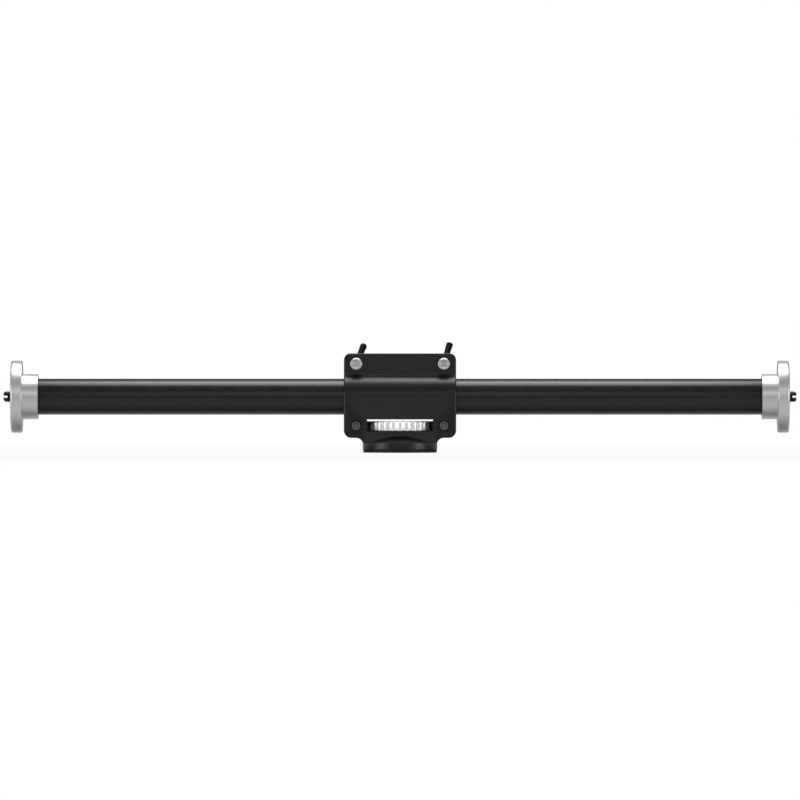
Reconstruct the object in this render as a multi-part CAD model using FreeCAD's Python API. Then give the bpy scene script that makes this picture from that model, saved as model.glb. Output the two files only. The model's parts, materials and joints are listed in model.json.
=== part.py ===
import FreeCAD, Part
import math
import os

# Tripod cross bar: a tube with a flanged stud at each end slides and turns in a two-piece clamp.
# Millimetres.  X runs along the tube, +Z is up, the front faces -Y.
# The origin is the centre of the foot's underside, where the clamp stands on a tripod.

Vector = FreeCAD.Vector
X_AXIS = Vector(1, 0, 0)
Y_AXIS = Vector(0, 1, 0)
Z_AXIS = Vector(0, 0, 1)

# Tube
TUBE_D = 30.0
TUBE_WALL = 2.0
TUBE_EXPOSED = 603.0

# Fits and clearances, all radial or on one side
RUN_GAP = 0.05
SEAT_GAP = 0.02
FREE_GAP = 0.3
THRUST_GAP = 0.1

# End caps
FLANGE_D = 60.0
FLANGE_T = 9.25
FLANGE_CHAMFER = 0.9
COLLAR_WALL = 3.8
COLLAR_LENGTH = 13.2
COLLAR_CHAMFER = 0.5
TUBE_IN_FLANGE = 2.0
SEAL_SECTION = 1.0
GRUB_D = 4.0
GRUB_HEX = 2.0
GRUB_HEX_DEPTH = 1.5
GRUB_SUNK = 0.3
LOCK_GRUB_LENGTH = 6.0
GRUB_TURN = 45.0

# Studs, 3/8 inch: full thread outside the cap, and the core of the thread where it is screwed in
STUD_D = 9.525
STUD_CORE_D = 7.94
STUD_OUT = 6.4
STUD_LENGTH = 22.0
STUD_CHAMFER = 1.9
STUD_SLOT_WIDTH = 1.7
STUD_SLOT_DEPTH = 3.4

# Liner between the tube and the castings
LINER_WALL = 1.2
LINER_SPLIT = 2.0
LIP_LENGTH = 3.0
LIP_GAP = 0.4

# Clamp castings
CHEEK_WIDTH = 19.25
PLATE_BOTTOM_Z = 12.3
PLATE_TOP_R = 5.5
PLATE_LOW_R = 6.3
SADDLE_WALL = 2.5
ROOF_WALL = 2.53
TOP_FLANGE_RISE = 17.3
TOP_FLANGE_T = 5.0
CLAMP_SLIT = 0.8
SHOULDER_FILLET = 1.5
PLATE_EDGE_FILLET = 1.2
NECK_RUN = 1.25
NECK_R = 5.6

# Foot
FOOT_D = 62.0
FOOT_RIM_TOP_Z = 8.2
FOOT_ARCH_Z = 13.7
FOOT_EDGE_R = 1.0
PAD_T = 2.0
PAD_BORE_D = 24.0
PAD_EDGE_R = 0.8

# Lock wheel and its window
WHEEL_D = 50.8
WHEEL_SPACE = 8.25
WINDOW_SIDE_GAP = 2.1
WINDOW_TOP_GAP = 1.67
WINDOW_FLOOR_Z = 17.75
WHEEL_POCKET_GAP = 0.6
WHEEL_LOBES = 24
WHEEL_FLUTE_R = 1.7
WHEEL_FLUTE_DEPTH = 1.0
WHEEL_EDGE = 0.7
WASHER_D = 30.0
WASHER_T = 0.8
BUSH_D = 14.0
BUSH_BOTTOM_Z = 3.0
BUSH_THREAD_R = 3.97

# Top clamp bolts, M6
BOLT_INSET = 10.25
BOLT_BELOW_TOP = 8.8
BOLT_D = 6.0
BOLT_HEAD_D = 10.0
BOLT_HEAD_T = 6.0
BOLT_HEX = 5.0
BOLT_HEX_DEPTH = 3.0
BOLT_LENGTH = 16.0

# Lower jaw screws, M5
JAW_SCREW_INSET = 10.15
JAW_SCREW_RISE = 4.55
JAW_SCREW_D = 5.0
JAW_SCREW_HEAD_D = 8.5
JAW_SCREW_HEAD_T = 5.0
JAW_SCREW_HEX = 4.0
JAW_SCREW_HEX_DEPTH = 2.6
JAW_SCREW_LENGTH = 20.0
JAW_SCREW_SUNK = 0.4
HEAD_EDGE = 0.5

# Clamp levers: a handle lifts off a toothed insert against a spring
LEVER_WASHER_D = 14.0
LEVER_WASHER_T = 1.2
INSERT_COLLAR_D = 12.5
INSERT_COLLAR_T = 3.0
TOOTH_COUNT = 16
TOOTH_DEPTH = 0.5
TOOTH_LENGTH = 3.0
TOOTH_GAP = 0.12
INSERT_WALL = 1.1
INSERT_NECK_D = 6.8
INSERT_NECK_LENGTH = 8.2
INSERT_SCREW_DEPTH = 5.3
LEVER_SCREW_D = 4.0
LEVER_SCREW_LENGTH = 5.0
LEVER_SCREW_HEAD_D = 9.2
LEVER_SCREW_HEAD_T = 2.5
LEVER_SCREW_SLOT = 1.0
HANDLE_HUB_D = 14.0
HANDLE_HUB_LENGTH = 15.0
HANDLE_WEB_T = 1.5
HANDLE_CHAMBER_R = 5.3
HANDLE_EDGE = 1.0
ARM_D_HUB = 5.0
ARM_D_TIP = 5.8
ARM_REACH = 18.6
ARM_RISE = 10.0
ARM_START_R = 5.9
ARM_TIP_EDGE = 1.0
SPRING_WIRE_D = 0.7
LEVER_TURNED = {"left": 22.0, "right": 17.0}

# Worked out from the sizes above
TUBE_R = TUBE_D / 2
LINER_INNER_R = TUBE_R + RUN_GAP
LINER_OUTER_R = LINER_INNER_R + LINER_WALL
POCKET_R = LINER_OUTER_R + RUN_GAP
HALF_DEPTH = POCKET_R + SADDLE_WALL
COLLAR_D = TUBE_D + 2 * COLLAR_WALL
WINDOW_WIDTH = WHEEL_D + 2 * WINDOW_SIDE_GAP
PLATE_WIDTH = WINDOW_WIDTH + 2 * CHEEK_WIDTH
WHEEL_TOP_Z = WINDOW_FLOOR_Z + WHEEL_SPACE
WINDOW_ROOF_Z = WHEEL_TOP_Z + WINDOW_TOP_GAP
TUBE_AXIS_Z = WINDOW_ROOF_Z + ROOF_WALL + POCKET_R
PLATE_TOP_Z = TUBE_AXIS_Z + HALF_DEPTH + TOP_FLANGE_RISE
BOLT_X = PLATE_WIDTH / 2 - BOLT_INSET
BOLT_Z = PLATE_TOP_Z - BOLT_BELOW_TOP
JAW_SCREW_X = PLATE_WIDTH / 2 - JAW_SCREW_INSET
JAW_SCREW_Z = WINDOW_FLOOR_Z + JAW_SCREW_RISE
FOOT_R = FOOT_D / 2
COLLAR_MOUTH_X = TUBE_EXPOSED / 2
FLANGE_INNER_X = COLLAR_MOUTH_X + COLLAR_LENGTH
FLANGE_OUTER_X = FLANGE_INNER_X + FLANGE_T
TUBE_END_X = FLANGE_INNER_X + TUBE_IN_FLANGE
WASHER_TOP_Z = WINDOW_FLOOR_Z + WASHER_T
INSERT_START_Y = TOP_FLANGE_T + LEVER_WASHER_T + THRUST_GAP
TOOTH_ROOT_R = BOLT_D / 2 + INSERT_WALL
TOOTH_TIP_R = TOOTH_ROOT_R + TOOTH_DEPTH
TEETH_START_Y = INSERT_START_Y + INSERT_COLLAR_T
TEETH_END_Y = TEETH_START_Y + TOOTH_LENGTH
INSERT_END_Y = TEETH_END_Y + INSERT_NECK_LENGTH
HANDLE_START_Y = TEETH_START_Y + FREE_GAP
HANDLE_WEB_Y = TEETH_END_Y + FREE_GAP
CHAMBER_START_Y = HANDLE_WEB_Y + HANDLE_WEB_T
OVERSHOOT = 1.0


def aimed(shape, start, direction):
    """A shape made from the origin along +Z, moved to start and turned to point along direction."""
    turn = FreeCAD.Rotation(Z_AXIS, direction)
    shape.Placement = FreeCAD.Placement(start, turn)
    return shape


def cylinder(radius, length, start, direction=Z_AXIS):
    return Part.makeCylinder(radius, length, start, direction)


def ring(outer, inner, length, start, direction=Z_AXIS):
    body = cylinder(outer, length, start, direction)
    return body.cut(cylinder(inner, length, start, direction))


def block(low, high):
    return Part.makeBox(high[0] - low[0], high[1] - low[1], high[2] - low[2], Vector(*low))


def turned(profile, start, direction=Z_AXIS):
    """A solid of revolution whose profile is a list of (radius, distance along the axis)."""
    points = [Vector(radius, 0, height) for radius, height in profile]
    wire = Part.makePolygon(points + [points[0]])
    solid = Part.Face(wire).revolve(Vector(0, 0, 0), Z_AXIS, 360)
    return aimed(Part.Solid(solid.Shells[0]), start, direction)


def hexagon(across_flats, length, start, direction):
    radius = across_flats / math.sqrt(3)
    points = [Vector(radius * math.cos(math.radians(60 * side)), radius * math.sin(math.radians(60 * side)), 0)
              for side in range(6)]
    face = Part.Face(Part.makePolygon(points + [points[0]]))
    return aimed(face.extrude(Vector(0, 0, length)), start, direction)


def toothed(tip_r, root_r, length, start, direction):
    """A prism with pointed teeth all round."""
    points = []
    for step in range(2 * TOOTH_COUNT):
        radius = root_r if step % 2 else tip_r
        angle = math.pi * step / TOOTH_COUNT
        points.append(Vector(radius * math.cos(angle), radius * math.sin(angle), 0))
    face = Part.Face(Part.makePolygon(points + [points[0]]))
    return aimed(face.extrude(Vector(0, 0, length)), start, direction)


def rounded_wire(corners):
    """A closed wire in the XZ plane through (x, z, radius) corners, each rounded by its radius."""
    edges = []
    starts = []
    ends = []
    for index, (x, z, radius) in enumerate(corners):
        corner = Vector(x, 0, z)
        before = Vector(corners[index - 1][0], 0, corners[index - 1][1]) - corner
        after_corner = corners[(index + 1) % len(corners)]
        after = Vector(after_corner[0], 0, after_corner[1]) - corner
        before.normalize()
        after.normalize()
        half_angle = before.getAngle(after) / 2
        reach = radius / math.tan(half_angle)
        start = corner + before * reach
        end = corner + after * reach
        if radius:
            middle_way = before + after
            middle_way.normalize()
            middle = corner + middle_way * (radius / math.sin(half_angle) - radius)
            edges.append(Part.Arc(start, middle, end).toShape())
        starts.append(start)
        ends.append(end)
    for index, end in enumerate(ends):
        next_start = starts[(index + 1) % len(starts)]
        if end.distanceToPoint(next_start) > 1e-6:
            edges.append(Part.LineSegment(end, next_start).toShape())
    return Part.Wire(Part.__sortEdges__(edges))


def cap_screw(head_d, head_t, shank_d, length, hex_size, hex_depth, seat, direction):
    """A socket cap screw: its head stands from seat along direction and its shank runs the other way."""
    profile = [(0, -length), (shank_d / 2 - HEAD_EDGE, -length), (shank_d / 2, -length + HEAD_EDGE),
               (shank_d / 2, 0), (head_d / 2, 0), (head_d / 2, head_t - HEAD_EDGE),
               (head_d / 2 - HEAD_EDGE, head_t), (0, head_t)]
    screw = turned(profile, seat, direction)
    socket_floor = seat + direction * (head_t - hex_depth)
    return screw.cut(hexagon(hex_size, hex_depth + OVERSHOOT, socket_floor, direction))


def grub_screw(length, start, direction):
    """A headless screw with a hexagon socket in its far end."""
    screw = cylinder(GRUB_D / 2, length, start, direction)
    socket_floor = start + direction * (length - GRUB_HEX_DEPTH)
    return screw.cut(hexagon(GRUB_HEX, GRUB_HEX_DEPTH + OVERSHOOT, socket_floor, direction))


def filleted(shape, radius, wanted):
    """Rounds the edges that the test accepts."""
    edges = [edge for edge in shape.Edges if wanted(edge)]
    return shape.makeFillet(radius, edges)


# Clamp castings

def plate_outline():
    half = PLATE_WIDTH / 2
    right = [(FOOT_R, FOOT_RIM_TOP_Z, 0), (FOOT_R + NECK_RUN, PLATE_BOTTOM_Z, NECK_R),
             (half, PLATE_BOTTOM_Z, PLATE_LOW_R), (half, PLATE_TOP_Z, PLATE_TOP_R)]
    left = [(-x, z, radius) for x, z, radius in reversed(right)]
    return Part.Face(rounded_wire(right + left))


def is_outer_edge(edge):
    """True on the rounded outer border of a casting's face, and not on its split, seams or foot."""
    box = edge.BoundBox
    runs_in_depth = box.XLength < 1e-6 and box.ZLength < 1e-6
    crosses_plate = box.XLength > PLATE_WIDTH - 1e-3
    on_split = box.YMax < 1e-6
    on_foot = box.ZMax < FOOT_RIM_TOP_Z + 1e-6
    return not (runs_in_depth or crosses_plate or on_split or on_foot)


def is_shoulder_edge(edge):
    box = edge.BoundBox
    across = box.XLength > PLATE_WIDTH - 1e-3
    above_axis = box.ZMin > TUBE_AXIS_Z + SADDLE_WALL
    below_top = box.ZMax < PLATE_TOP_Z - SADDLE_WALL
    return across and above_axis and below_top and abs(box.YMax - TOP_FLANGE_T) < 1e-3


def casting_half():
    """The rear half of the clamp body, solid, between the split plane and its rear face."""
    half = PLATE_WIDTH / 2
    lower = block((-half, 0, FOOT_RIM_TOP_Z), (half, HALF_DEPTH, TUBE_AXIS_Z))
    barrel = cylinder(HALF_DEPTH, PLATE_WIDTH, Vector(-half, 0, TUBE_AXIS_Z), X_AXIS)
    shoulder = barrel.common(block((-half, 0, TUBE_AXIS_Z), (half, HALF_DEPTH, PLATE_TOP_Z)))
    flange = block((-half, 0, TUBE_AXIS_Z), (half, TOP_FLANGE_T, PLATE_TOP_Z))
    profile = lower.fuse([shoulder, flange]).removeSplitter()
    profile = filleted(profile, SHOULDER_FILLET, is_shoulder_edge)
    outline = plate_outline().extrude(Vector(0, HALF_DEPTH, 0))
    return filleted(profile.common(outline), PLATE_EDGE_FILLET, is_outer_edge)


def tube_channel():
    """The space for the liner, with a narrower mouth for the tube at each end."""
    half = PLATE_WIDTH / 2
    pocket_start = Vector(LIP_LENGTH - half, 0, TUBE_AXIS_Z)
    pocket = cylinder(POCKET_R, PLATE_WIDTH - 2 * LIP_LENGTH, pocket_start, X_AXIS)
    mouth_start = Vector(-half - OVERSHOOT, 0, TUBE_AXIS_Z)
    mouth = cylinder(TUBE_R + LIP_GAP, PLATE_WIDTH + 2 * OVERSHOOT, mouth_start, X_AXIS)
    return pocket.fuse(mouth)


def bolt_holes():
    start_y = -TOP_FLANGE_T - OVERSHOOT
    length = 2 * (TOP_FLANGE_T + OVERSHOOT)
    radius = BOLT_D / 2 + FREE_GAP
    return [cylinder(radius, length, Vector(side * BOLT_X, start_y, BOLT_Z), Y_AXIS) for side in (-1, 1)]


def bush_bore():
    return cylinder(BUSH_D / 2 + RUN_GAP, WINDOW_FLOOR_Z, Vector(0, 0, PAD_T))


def jaw_screw_seat_y():
    return -HALF_DEPTH + JAW_SCREW_SUNK + JAW_SCREW_HEAD_T


def jaw_screw_holes(radius, start_y, length):
    return [cylinder(radius, length, Vector(side * JAW_SCREW_X, start_y, JAW_SCREW_Z), Y_AXIS)
            for side in (-1, 1)]


def foot():
    """The round foot, with a conical top that rises to the flat faces in front and behind."""
    disc = cylinder(FOOT_R, FOOT_RIM_TOP_Z - PAD_T, Vector(0, 0, PAD_T))
    disc = filleted(disc, FOOT_EDGE_R, lambda edge: edge.BoundBox.ZMax < PAD_T + 1e-3)
    rise = FOOT_ARCH_Z - FOOT_RIM_TOP_Z
    cone = turned([(0, 0), (FOOT_R, 0), (HALF_DEPTH, rise), (0, rise)], Vector(0, 0, FOOT_RIM_TOP_Z))
    between = block((-FOOT_R, -HALF_DEPTH, FOOT_RIM_TOP_Z), (FOOT_R, HALF_DEPTH, FOOT_ARCH_Z + OVERSHOOT))
    return disc.fuse(cone.cut(between))


def rear_body():
    half_width = WINDOW_WIDTH / 2
    casting = casting_half().fuse(foot()).removeSplitter()
    pocket = cylinder(WHEEL_D / 2 + WHEEL_POCKET_GAP, WHEEL_TOP_Z - WINDOW_FLOOR_Z, Vector(0, 0, WINDOW_FLOOR_Z))
    gap_above = block((-half_width, -OVERSHOOT, WHEEL_TOP_Z), (half_width, HALF_DEPTH + OVERSHOOT, WINDOW_ROOF_Z))
    screw_depth = JAW_SCREW_LENGTH + jaw_screw_seat_y() + OVERSHOOT
    threads = jaw_screw_holes(JAW_SCREW_D / 2 + SEAT_GAP, -OVERSHOOT, screw_depth + OVERSHOOT)
    return casting.cut([tube_channel(), pocket, gap_above, bush_bore()] + threads + bolt_holes())


def front_jaw():
    half_width = WINDOW_WIDTH / 2
    window_low = (-half_width, -HALF_DEPTH - OVERSHOOT, WINDOW_FLOOR_Z)
    window = block(window_low, (half_width, OVERSHOOT, WINDOW_ROOF_Z))
    slit_low = (-PLATE_WIDTH, -CLAMP_SLIT, TUBE_AXIS_Z)
    slit = block(slit_low, (PLATE_WIDTH, OVERSHOOT, PLATE_TOP_Z + OVERSHOOT))
    shanks = jaw_screw_holes(JAW_SCREW_D / 2 + FREE_GAP, -HALF_DEPTH, HALF_DEPTH + OVERSHOOT)
    sink_depth = jaw_screw_seat_y() + HALF_DEPTH
    sinks = jaw_screw_holes(JAW_SCREW_HEAD_D / 2 + FREE_GAP, -HALF_DEPTH - OVERSHOOT, sink_depth + OVERSHOOT)
    casting = casting_half().mirror(Vector(0, 0, 0), Y_AXIS)
    return casting.cut([tube_channel(), window, slit, bush_bore()] + shanks + sinks + bolt_holes())


def base_pad():
    pad = ring(FOOT_R - FREE_GAP, PAD_BORE_D / 2, PAD_T, Vector(0, 0, 0))
    return filleted(pad, PAD_EDGE_R, lambda edge: edge.BoundBox.ZMax < 1e-3 and edge.BoundBox.XMax > PAD_BORE_D)


def liner():
    length = PLATE_WIDTH - 2 * (LIP_LENGTH + FREE_GAP)
    start = Vector(-length / 2, 0, TUBE_AXIS_Z)
    bush = ring(LINER_OUTER_R, LINER_INNER_R, length, start, X_AXIS)
    half_split = LINER_SPLIT / 2
    split_high = (length, half_split, TUBE_AXIS_Z + LINER_OUTER_R + OVERSHOOT)
    return bush.cut(block((-length, -half_split, TUBE_AXIS_Z), split_high))


def clamp_bolts():
    forward = Vector(0, -1, 0)
    return [cap_screw(BOLT_HEAD_D, BOLT_HEAD_T, BOLT_D, BOLT_LENGTH, BOLT_HEX, BOLT_HEX_DEPTH,
                      Vector(side * BOLT_X, -TOP_FLANGE_T, BOLT_Z), forward) for side in (-1, 1)]


def jaw_screws():
    forward = Vector(0, -1, 0)
    return [cap_screw(JAW_SCREW_HEAD_D, JAW_SCREW_HEAD_T, JAW_SCREW_D, JAW_SCREW_LENGTH, JAW_SCREW_HEX,
                      JAW_SCREW_HEX_DEPTH, Vector(side * JAW_SCREW_X, jaw_screw_seat_y(), JAW_SCREW_Z), forward)
            for side in (-1, 1)]


# Lock wheel

def lock_wheel():
    radius = WHEEL_D / 2
    low = WINDOW_FLOOR_Z + FREE_GAP
    profile = [(BUSH_D / 2 + SEAT_GAP, low), (radius - WHEEL_EDGE, low), (radius, low + WHEEL_EDGE),
               (radius, WHEEL_TOP_Z - WHEEL_EDGE), (radius - WHEEL_EDGE, WHEEL_TOP_Z),
               (BUSH_D / 2 + SEAT_GAP, WHEEL_TOP_Z)]
    wheel = turned(profile, Vector(0, 0, 0))
    flute_at = radius + WHEEL_FLUTE_R - WHEEL_FLUTE_DEPTH
    flutes = []
    for lobe in range(WHEEL_LOBES):
        angle = 2 * math.pi * lobe / WHEEL_LOBES
        place = Vector(flute_at * math.cos(angle), flute_at * math.sin(angle), WINDOW_FLOOR_Z)
        flutes.append(cylinder(WHEEL_FLUTE_R, WHEEL_TOP_Z, place))
    recess = cylinder(WASHER_D / 2 + FREE_GAP, WASHER_TOP_Z + THRUST_GAP - WINDOW_FLOOR_Z, Vector(0, 0, WINDOW_FLOOR_Z))
    return wheel.cut(flutes + [recess])


def wheel_bush():
    return ring(BUSH_D / 2, BUSH_THREAD_R, WHEEL_TOP_Z - BUSH_BOTTOM_Z, Vector(0, 0, BUSH_BOTTOM_Z))


def wheel_washer():
    return ring(WASHER_D / 2, BUSH_D / 2 + FREE_GAP, WASHER_T, Vector(0, 0, WINDOW_FLOOR_Z))


# Bar: made at the right end, and mirrored for the left

def bar_tube():
    return ring(TUBE_R, TUBE_R - TUBE_WALL, 2 * TUBE_END_X, Vector(-TUBE_END_X, 0, TUBE_AXIS_Z), X_AXIS)


def at_end(distance):
    return Vector(distance, 0, TUBE_AXIS_Z)


def grub_direction():
    angle = math.radians(GRUB_TURN)
    return Vector(0, math.cos(angle), -math.sin(angle))


def end_cap():
    collar_r = COLLAR_D / 2
    flange_r = FLANGE_D / 2
    flange_start = COLLAR_LENGTH
    outer = COLLAR_LENGTH + FLANGE_T
    bore_r = TUBE_R + SEAT_GAP
    hole_r = STUD_CORE_D / 2 + SEAT_GAP
    entry_r = STUD_D / 2 + FREE_GAP
    seal_r = TUBE_R + SEAL_SECTION + SEAT_GAP
    profile = [(bore_r, SEAL_SECTION + SEAT_GAP), (seal_r, SEAL_SECTION + SEAT_GAP), (seal_r, 0),
               (collar_r - COLLAR_CHAMFER, 0), (collar_r, COLLAR_CHAMFER), (collar_r, flange_start),
               (flange_r - FLANGE_CHAMFER / 2, flange_start), (flange_r, flange_start + FLANGE_CHAMFER / 2),
               (flange_r, outer - FLANGE_CHAMFER), (flange_r - FLANGE_CHAMFER, outer),
               (entry_r, outer), (hole_r, outer - entry_r + hole_r),
               (hole_r, flange_start + TUBE_IN_FLANGE + SEAT_GAP),
               (bore_r, flange_start + TUBE_IN_FLANGE + SEAT_GAP)]
    cap = turned(profile, at_end(COLLAR_MOUTH_X), X_AXIS)
    radius = GRUB_D / 2 + SEAT_GAP
    holes = [cylinder(radius, flange_r, at_end(place), grub_direction()) for place in (cap_grub_x(), lock_grub_x())]
    return cap.cut(holes)


def cap_grub_x():
    return COLLAR_MOUTH_X + COLLAR_LENGTH / 2


def lock_grub_x():
    return (TUBE_END_X + FLANGE_OUTER_X) / 2


def cap_grub():
    start_r = TUBE_R + SEAT_GAP
    start = at_end(cap_grub_x()) + grub_direction() * start_r
    return grub_screw(COLLAR_D / 2 - GRUB_SUNK - start_r, start, grub_direction())


def lock_grub():
    start = at_end(lock_grub_x()) + grub_direction() * (STUD_CORE_D / 2 + SEAT_GAP)
    return grub_screw(LOCK_GRUB_LENGTH, start, grub_direction())


def stud():
    tip = FLANGE_OUTER_X + STUD_OUT
    radius = STUD_D / 2
    core_r = STUD_CORE_D / 2
    core_length = STUD_LENGTH - STUD_OUT
    profile = [(0, 0), (core_r - HEAD_EDGE, 0), (core_r, HEAD_EDGE), (core_r, core_length),
               (radius, core_length), (radius, STUD_LENGTH - STUD_CHAMFER),
               (radius - STUD_CHAMFER, STUD_LENGTH), (0, STUD_LENGTH)]
    rod = turned(profile, at_end(tip - STUD_LENGTH), X_AXIS)
    half_slot = STUD_SLOT_WIDTH / 2
    slot_low = (tip - STUD_SLOT_DEPTH, -STUD_D, TUBE_AXIS_Z - half_slot)
    return rod.cut(block(slot_low, (tip + OVERSHOOT, STUD_D, TUBE_AXIS_Z + half_slot)))


def seal_ring():
    return ring(TUBE_R + SEAL_SECTION, TUBE_R + SEAT_GAP, SEAL_SECTION, at_end(COLLAR_MOUTH_X), X_AXIS)


def to_left(shape):
    return shape.mirror(Vector(0, 0, 0), X_AXIS)


# Clamp levers, each on its bolt's axis behind the top flange

def on_bolt(side_x, distance):
    return Vector(side_x * BOLT_X, distance, BOLT_Z)


def lever_washer(side_x):
    return ring(LEVER_WASHER_D / 2, BOLT_D / 2 + FREE_GAP, LEVER_WASHER_T, on_bolt(side_x, TOP_FLANGE_T), Y_AXIS)


def lever_insert(side_x):
    collar = cylinder(INSERT_COLLAR_D / 2, INSERT_COLLAR_T, on_bolt(side_x, INSERT_START_Y), Y_AXIS)
    teeth = toothed(TOOTH_TIP_R, TOOTH_ROOT_R, TOOTH_LENGTH, on_bolt(side_x, TEETH_START_Y), Y_AXIS)
    neck = cylinder(INSERT_NECK_D / 2, INSERT_NECK_LENGTH, on_bolt(side_x, TEETH_END_Y), Y_AXIS)
    bolt_depth = BOLT_LENGTH - TOP_FLANGE_T + FREE_GAP - INSERT_START_Y
    bolt_thread = cylinder(BOLT_D / 2 + RUN_GAP, bolt_depth, on_bolt(side_x, INSERT_START_Y), Y_AXIS)
    screw_start = INSERT_END_Y - INSERT_SCREW_DEPTH
    screw_thread = cylinder(LEVER_SCREW_D / 2 + SEAT_GAP, INSERT_SCREW_DEPTH, on_bolt(side_x, screw_start), Y_AXIS)
    return collar.fuse([teeth, neck]).cut([bolt_thread, screw_thread])


def lever_screw(side_x):
    half_slot = LEVER_SCREW_SLOT / 2
    profile = [(0, -LEVER_SCREW_LENGTH), (LEVER_SCREW_D / 2, -LEVER_SCREW_LENGTH), (LEVER_SCREW_D / 2, 0),
               (LEVER_SCREW_HEAD_D / 2, 0), (LEVER_SCREW_HEAD_D / 2, LEVER_SCREW_HEAD_T - HEAD_EDGE),
               (LEVER_SCREW_HEAD_D / 2 - HEAD_EDGE, LEVER_SCREW_HEAD_T), (0, LEVER_SCREW_HEAD_T)]
    screw = turned(profile, on_bolt(side_x, INSERT_END_Y), Y_AXIS)
    head_end = INSERT_END_Y + LEVER_SCREW_HEAD_T
    centre_x = side_x * BOLT_X
    slot_low = (centre_x - LEVER_SCREW_HEAD_D, head_end - LEVER_SCREW_SLOT, BOLT_Z - half_slot)
    slot_high = (centre_x + LEVER_SCREW_HEAD_D, head_end + OVERSHOOT, BOLT_Z + half_slot)
    return screw.cut(block(slot_low, slot_high))


def lever_spring(side_x):
    """The coil's outer shape, a plain sleeve between the handle's web and the screw's head."""
    coil_r = (INSERT_NECK_D / 2 + HANDLE_CHAMBER_R) / 2
    height = INSERT_END_Y - CHAMBER_START_Y - 2 * SEAT_GAP
    start = on_bolt(side_x, CHAMBER_START_Y + SEAT_GAP)
    return ring(coil_r + SPRING_WIRE_D / 2, coil_r - SPRING_WIRE_D / 2, height, start, Y_AXIS)


def lever_arm(side_x, turned_by):
    """The arm rises from the hub away from the clamp, and ends in a flat tip with an eased edge."""
    angle = math.radians(turned_by)
    outward = Vector(math.sin(angle), 0, math.cos(angle))
    hub_end_y = HANDLE_START_Y + HANDLE_HUB_LENGTH
    tip_r = ARM_D_TIP / 2
    start = on_bolt(side_x, hub_end_y - ARM_D_HUB) + outward * ARM_START_R
    end = on_bolt(side_x, hub_end_y - ARM_D_HUB + ARM_RISE) + outward * (ARM_REACH - ARM_TIP_EDGE)
    along = end - start
    length = along.Length
    along.normalize()
    profile = [(0, 0), (ARM_D_HUB / 2, 0), (tip_r, length - ARM_TIP_EDGE), (tip_r - ARM_TIP_EDGE, length), (0, length)]
    return turned(profile, start, along)


def lever_handle(side_x, turned_by):
    hub_r = HANDLE_HUB_D / 2
    profile = [(0, 0), (hub_r, 0), (hub_r, HANDLE_HUB_LENGTH - HANDLE_EDGE),
               (hub_r - HANDLE_EDGE, HANDLE_HUB_LENGTH), (0, HANDLE_HUB_LENGTH)]
    hub = turned(profile, on_bolt(side_x, HANDLE_START_Y), Y_AXIS)
    grip = hub.fuse(lever_arm(side_x, turned_by))
    tooth_space = toothed(TOOTH_TIP_R + TOOTH_GAP, TOOTH_ROOT_R + TOOTH_GAP, HANDLE_WEB_Y - HANDLE_START_Y,
                          on_bolt(side_x, HANDLE_START_Y), Y_AXIS)
    neck_hole = cylinder(INSERT_NECK_D / 2 + FREE_GAP, HANDLE_HUB_LENGTH, on_bolt(side_x, HANDLE_START_Y), Y_AXIS)
    chamber = cylinder(HANDLE_CHAMBER_R, HANDLE_HUB_LENGTH + ARM_RISE, on_bolt(side_x, CHAMBER_START_Y), Y_AXIS)
    return grip.cut([tooth_space, neck_hole, chamber])


def save(name, shapes):
    solids = []
    for shape in shapes:
        solids.extend(shape.Solids)
    for solid in solids:
        if not solid.isValid():
            raise ValueError(name + " has an invalid solid")
    whole = solids[0] if len(solids) == 1 else Part.makeCompound(solids)
    whole.exportStep(os.path.join("parts", name + ".step"))
    print(name, len(solids), "solids", round(whole.Volume, 1), "mm3")


def main():
    os.makedirs("parts", exist_ok=True)
    save("rear_body", [rear_body()])
    save("front_jaw", [front_jaw()])
    save("base_pad", [base_pad()])
    save("clamp_bolts", clamp_bolts())
    save("jaw_screws", jaw_screws())
    save("lever_washers", [lever_washer(-1), lever_washer(1)])
    save("wheel_washer", [wheel_washer()])
    save("lock_wheel", [lock_wheel()])
    save("wheel_bush", [wheel_bush()])
    save("liner", [liner()])
    save("bar_tube", [bar_tube()])
    save("right_end_cap", [end_cap()])
    save("left_end_cap", [to_left(end_cap())])
    save("right_stud", [stud()])
    save("left_stud", [to_left(stud())])
    save("cap_seal_rings", [seal_ring(), to_left(seal_ring())])
    save("cap_set_screws", [cap_grub(), to_left(cap_grub())])
    save("stud_lock_screws", [lock_grub(), to_left(lock_grub())])
    for side, side_x in (("left", -1), ("right", 1)):
        save(side + "_lever_insert", [lever_insert(side_x)])
        save(side + "_lever_screw", [lever_screw(side_x)])
        save(side + "_lever_spring", [lever_spring(side_x)])
        save(side + "_lever_handle", [lever_handle(side_x, LEVER_TURNED[side])])


main()
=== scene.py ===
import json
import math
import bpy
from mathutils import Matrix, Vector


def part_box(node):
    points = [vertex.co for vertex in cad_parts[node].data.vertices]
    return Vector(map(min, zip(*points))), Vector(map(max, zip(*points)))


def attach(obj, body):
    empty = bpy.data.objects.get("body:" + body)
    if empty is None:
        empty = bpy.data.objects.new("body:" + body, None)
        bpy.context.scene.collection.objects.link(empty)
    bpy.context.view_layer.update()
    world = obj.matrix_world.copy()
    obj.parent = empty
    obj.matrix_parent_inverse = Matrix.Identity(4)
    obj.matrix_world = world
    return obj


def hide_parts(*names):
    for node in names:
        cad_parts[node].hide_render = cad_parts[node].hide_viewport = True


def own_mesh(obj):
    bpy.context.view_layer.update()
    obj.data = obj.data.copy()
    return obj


bl_info = {
    "name": "Tripod Cross Bar",
    "version": (1, 0, 0),
    "blender": (4, 5, 0),
    "location": "View3D > Sidebar > Cross Bar",
    "description": "Models and finishes a tripod cross bar with a sliding clamp around its packed frame",
    "category": "Object",
}

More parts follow.
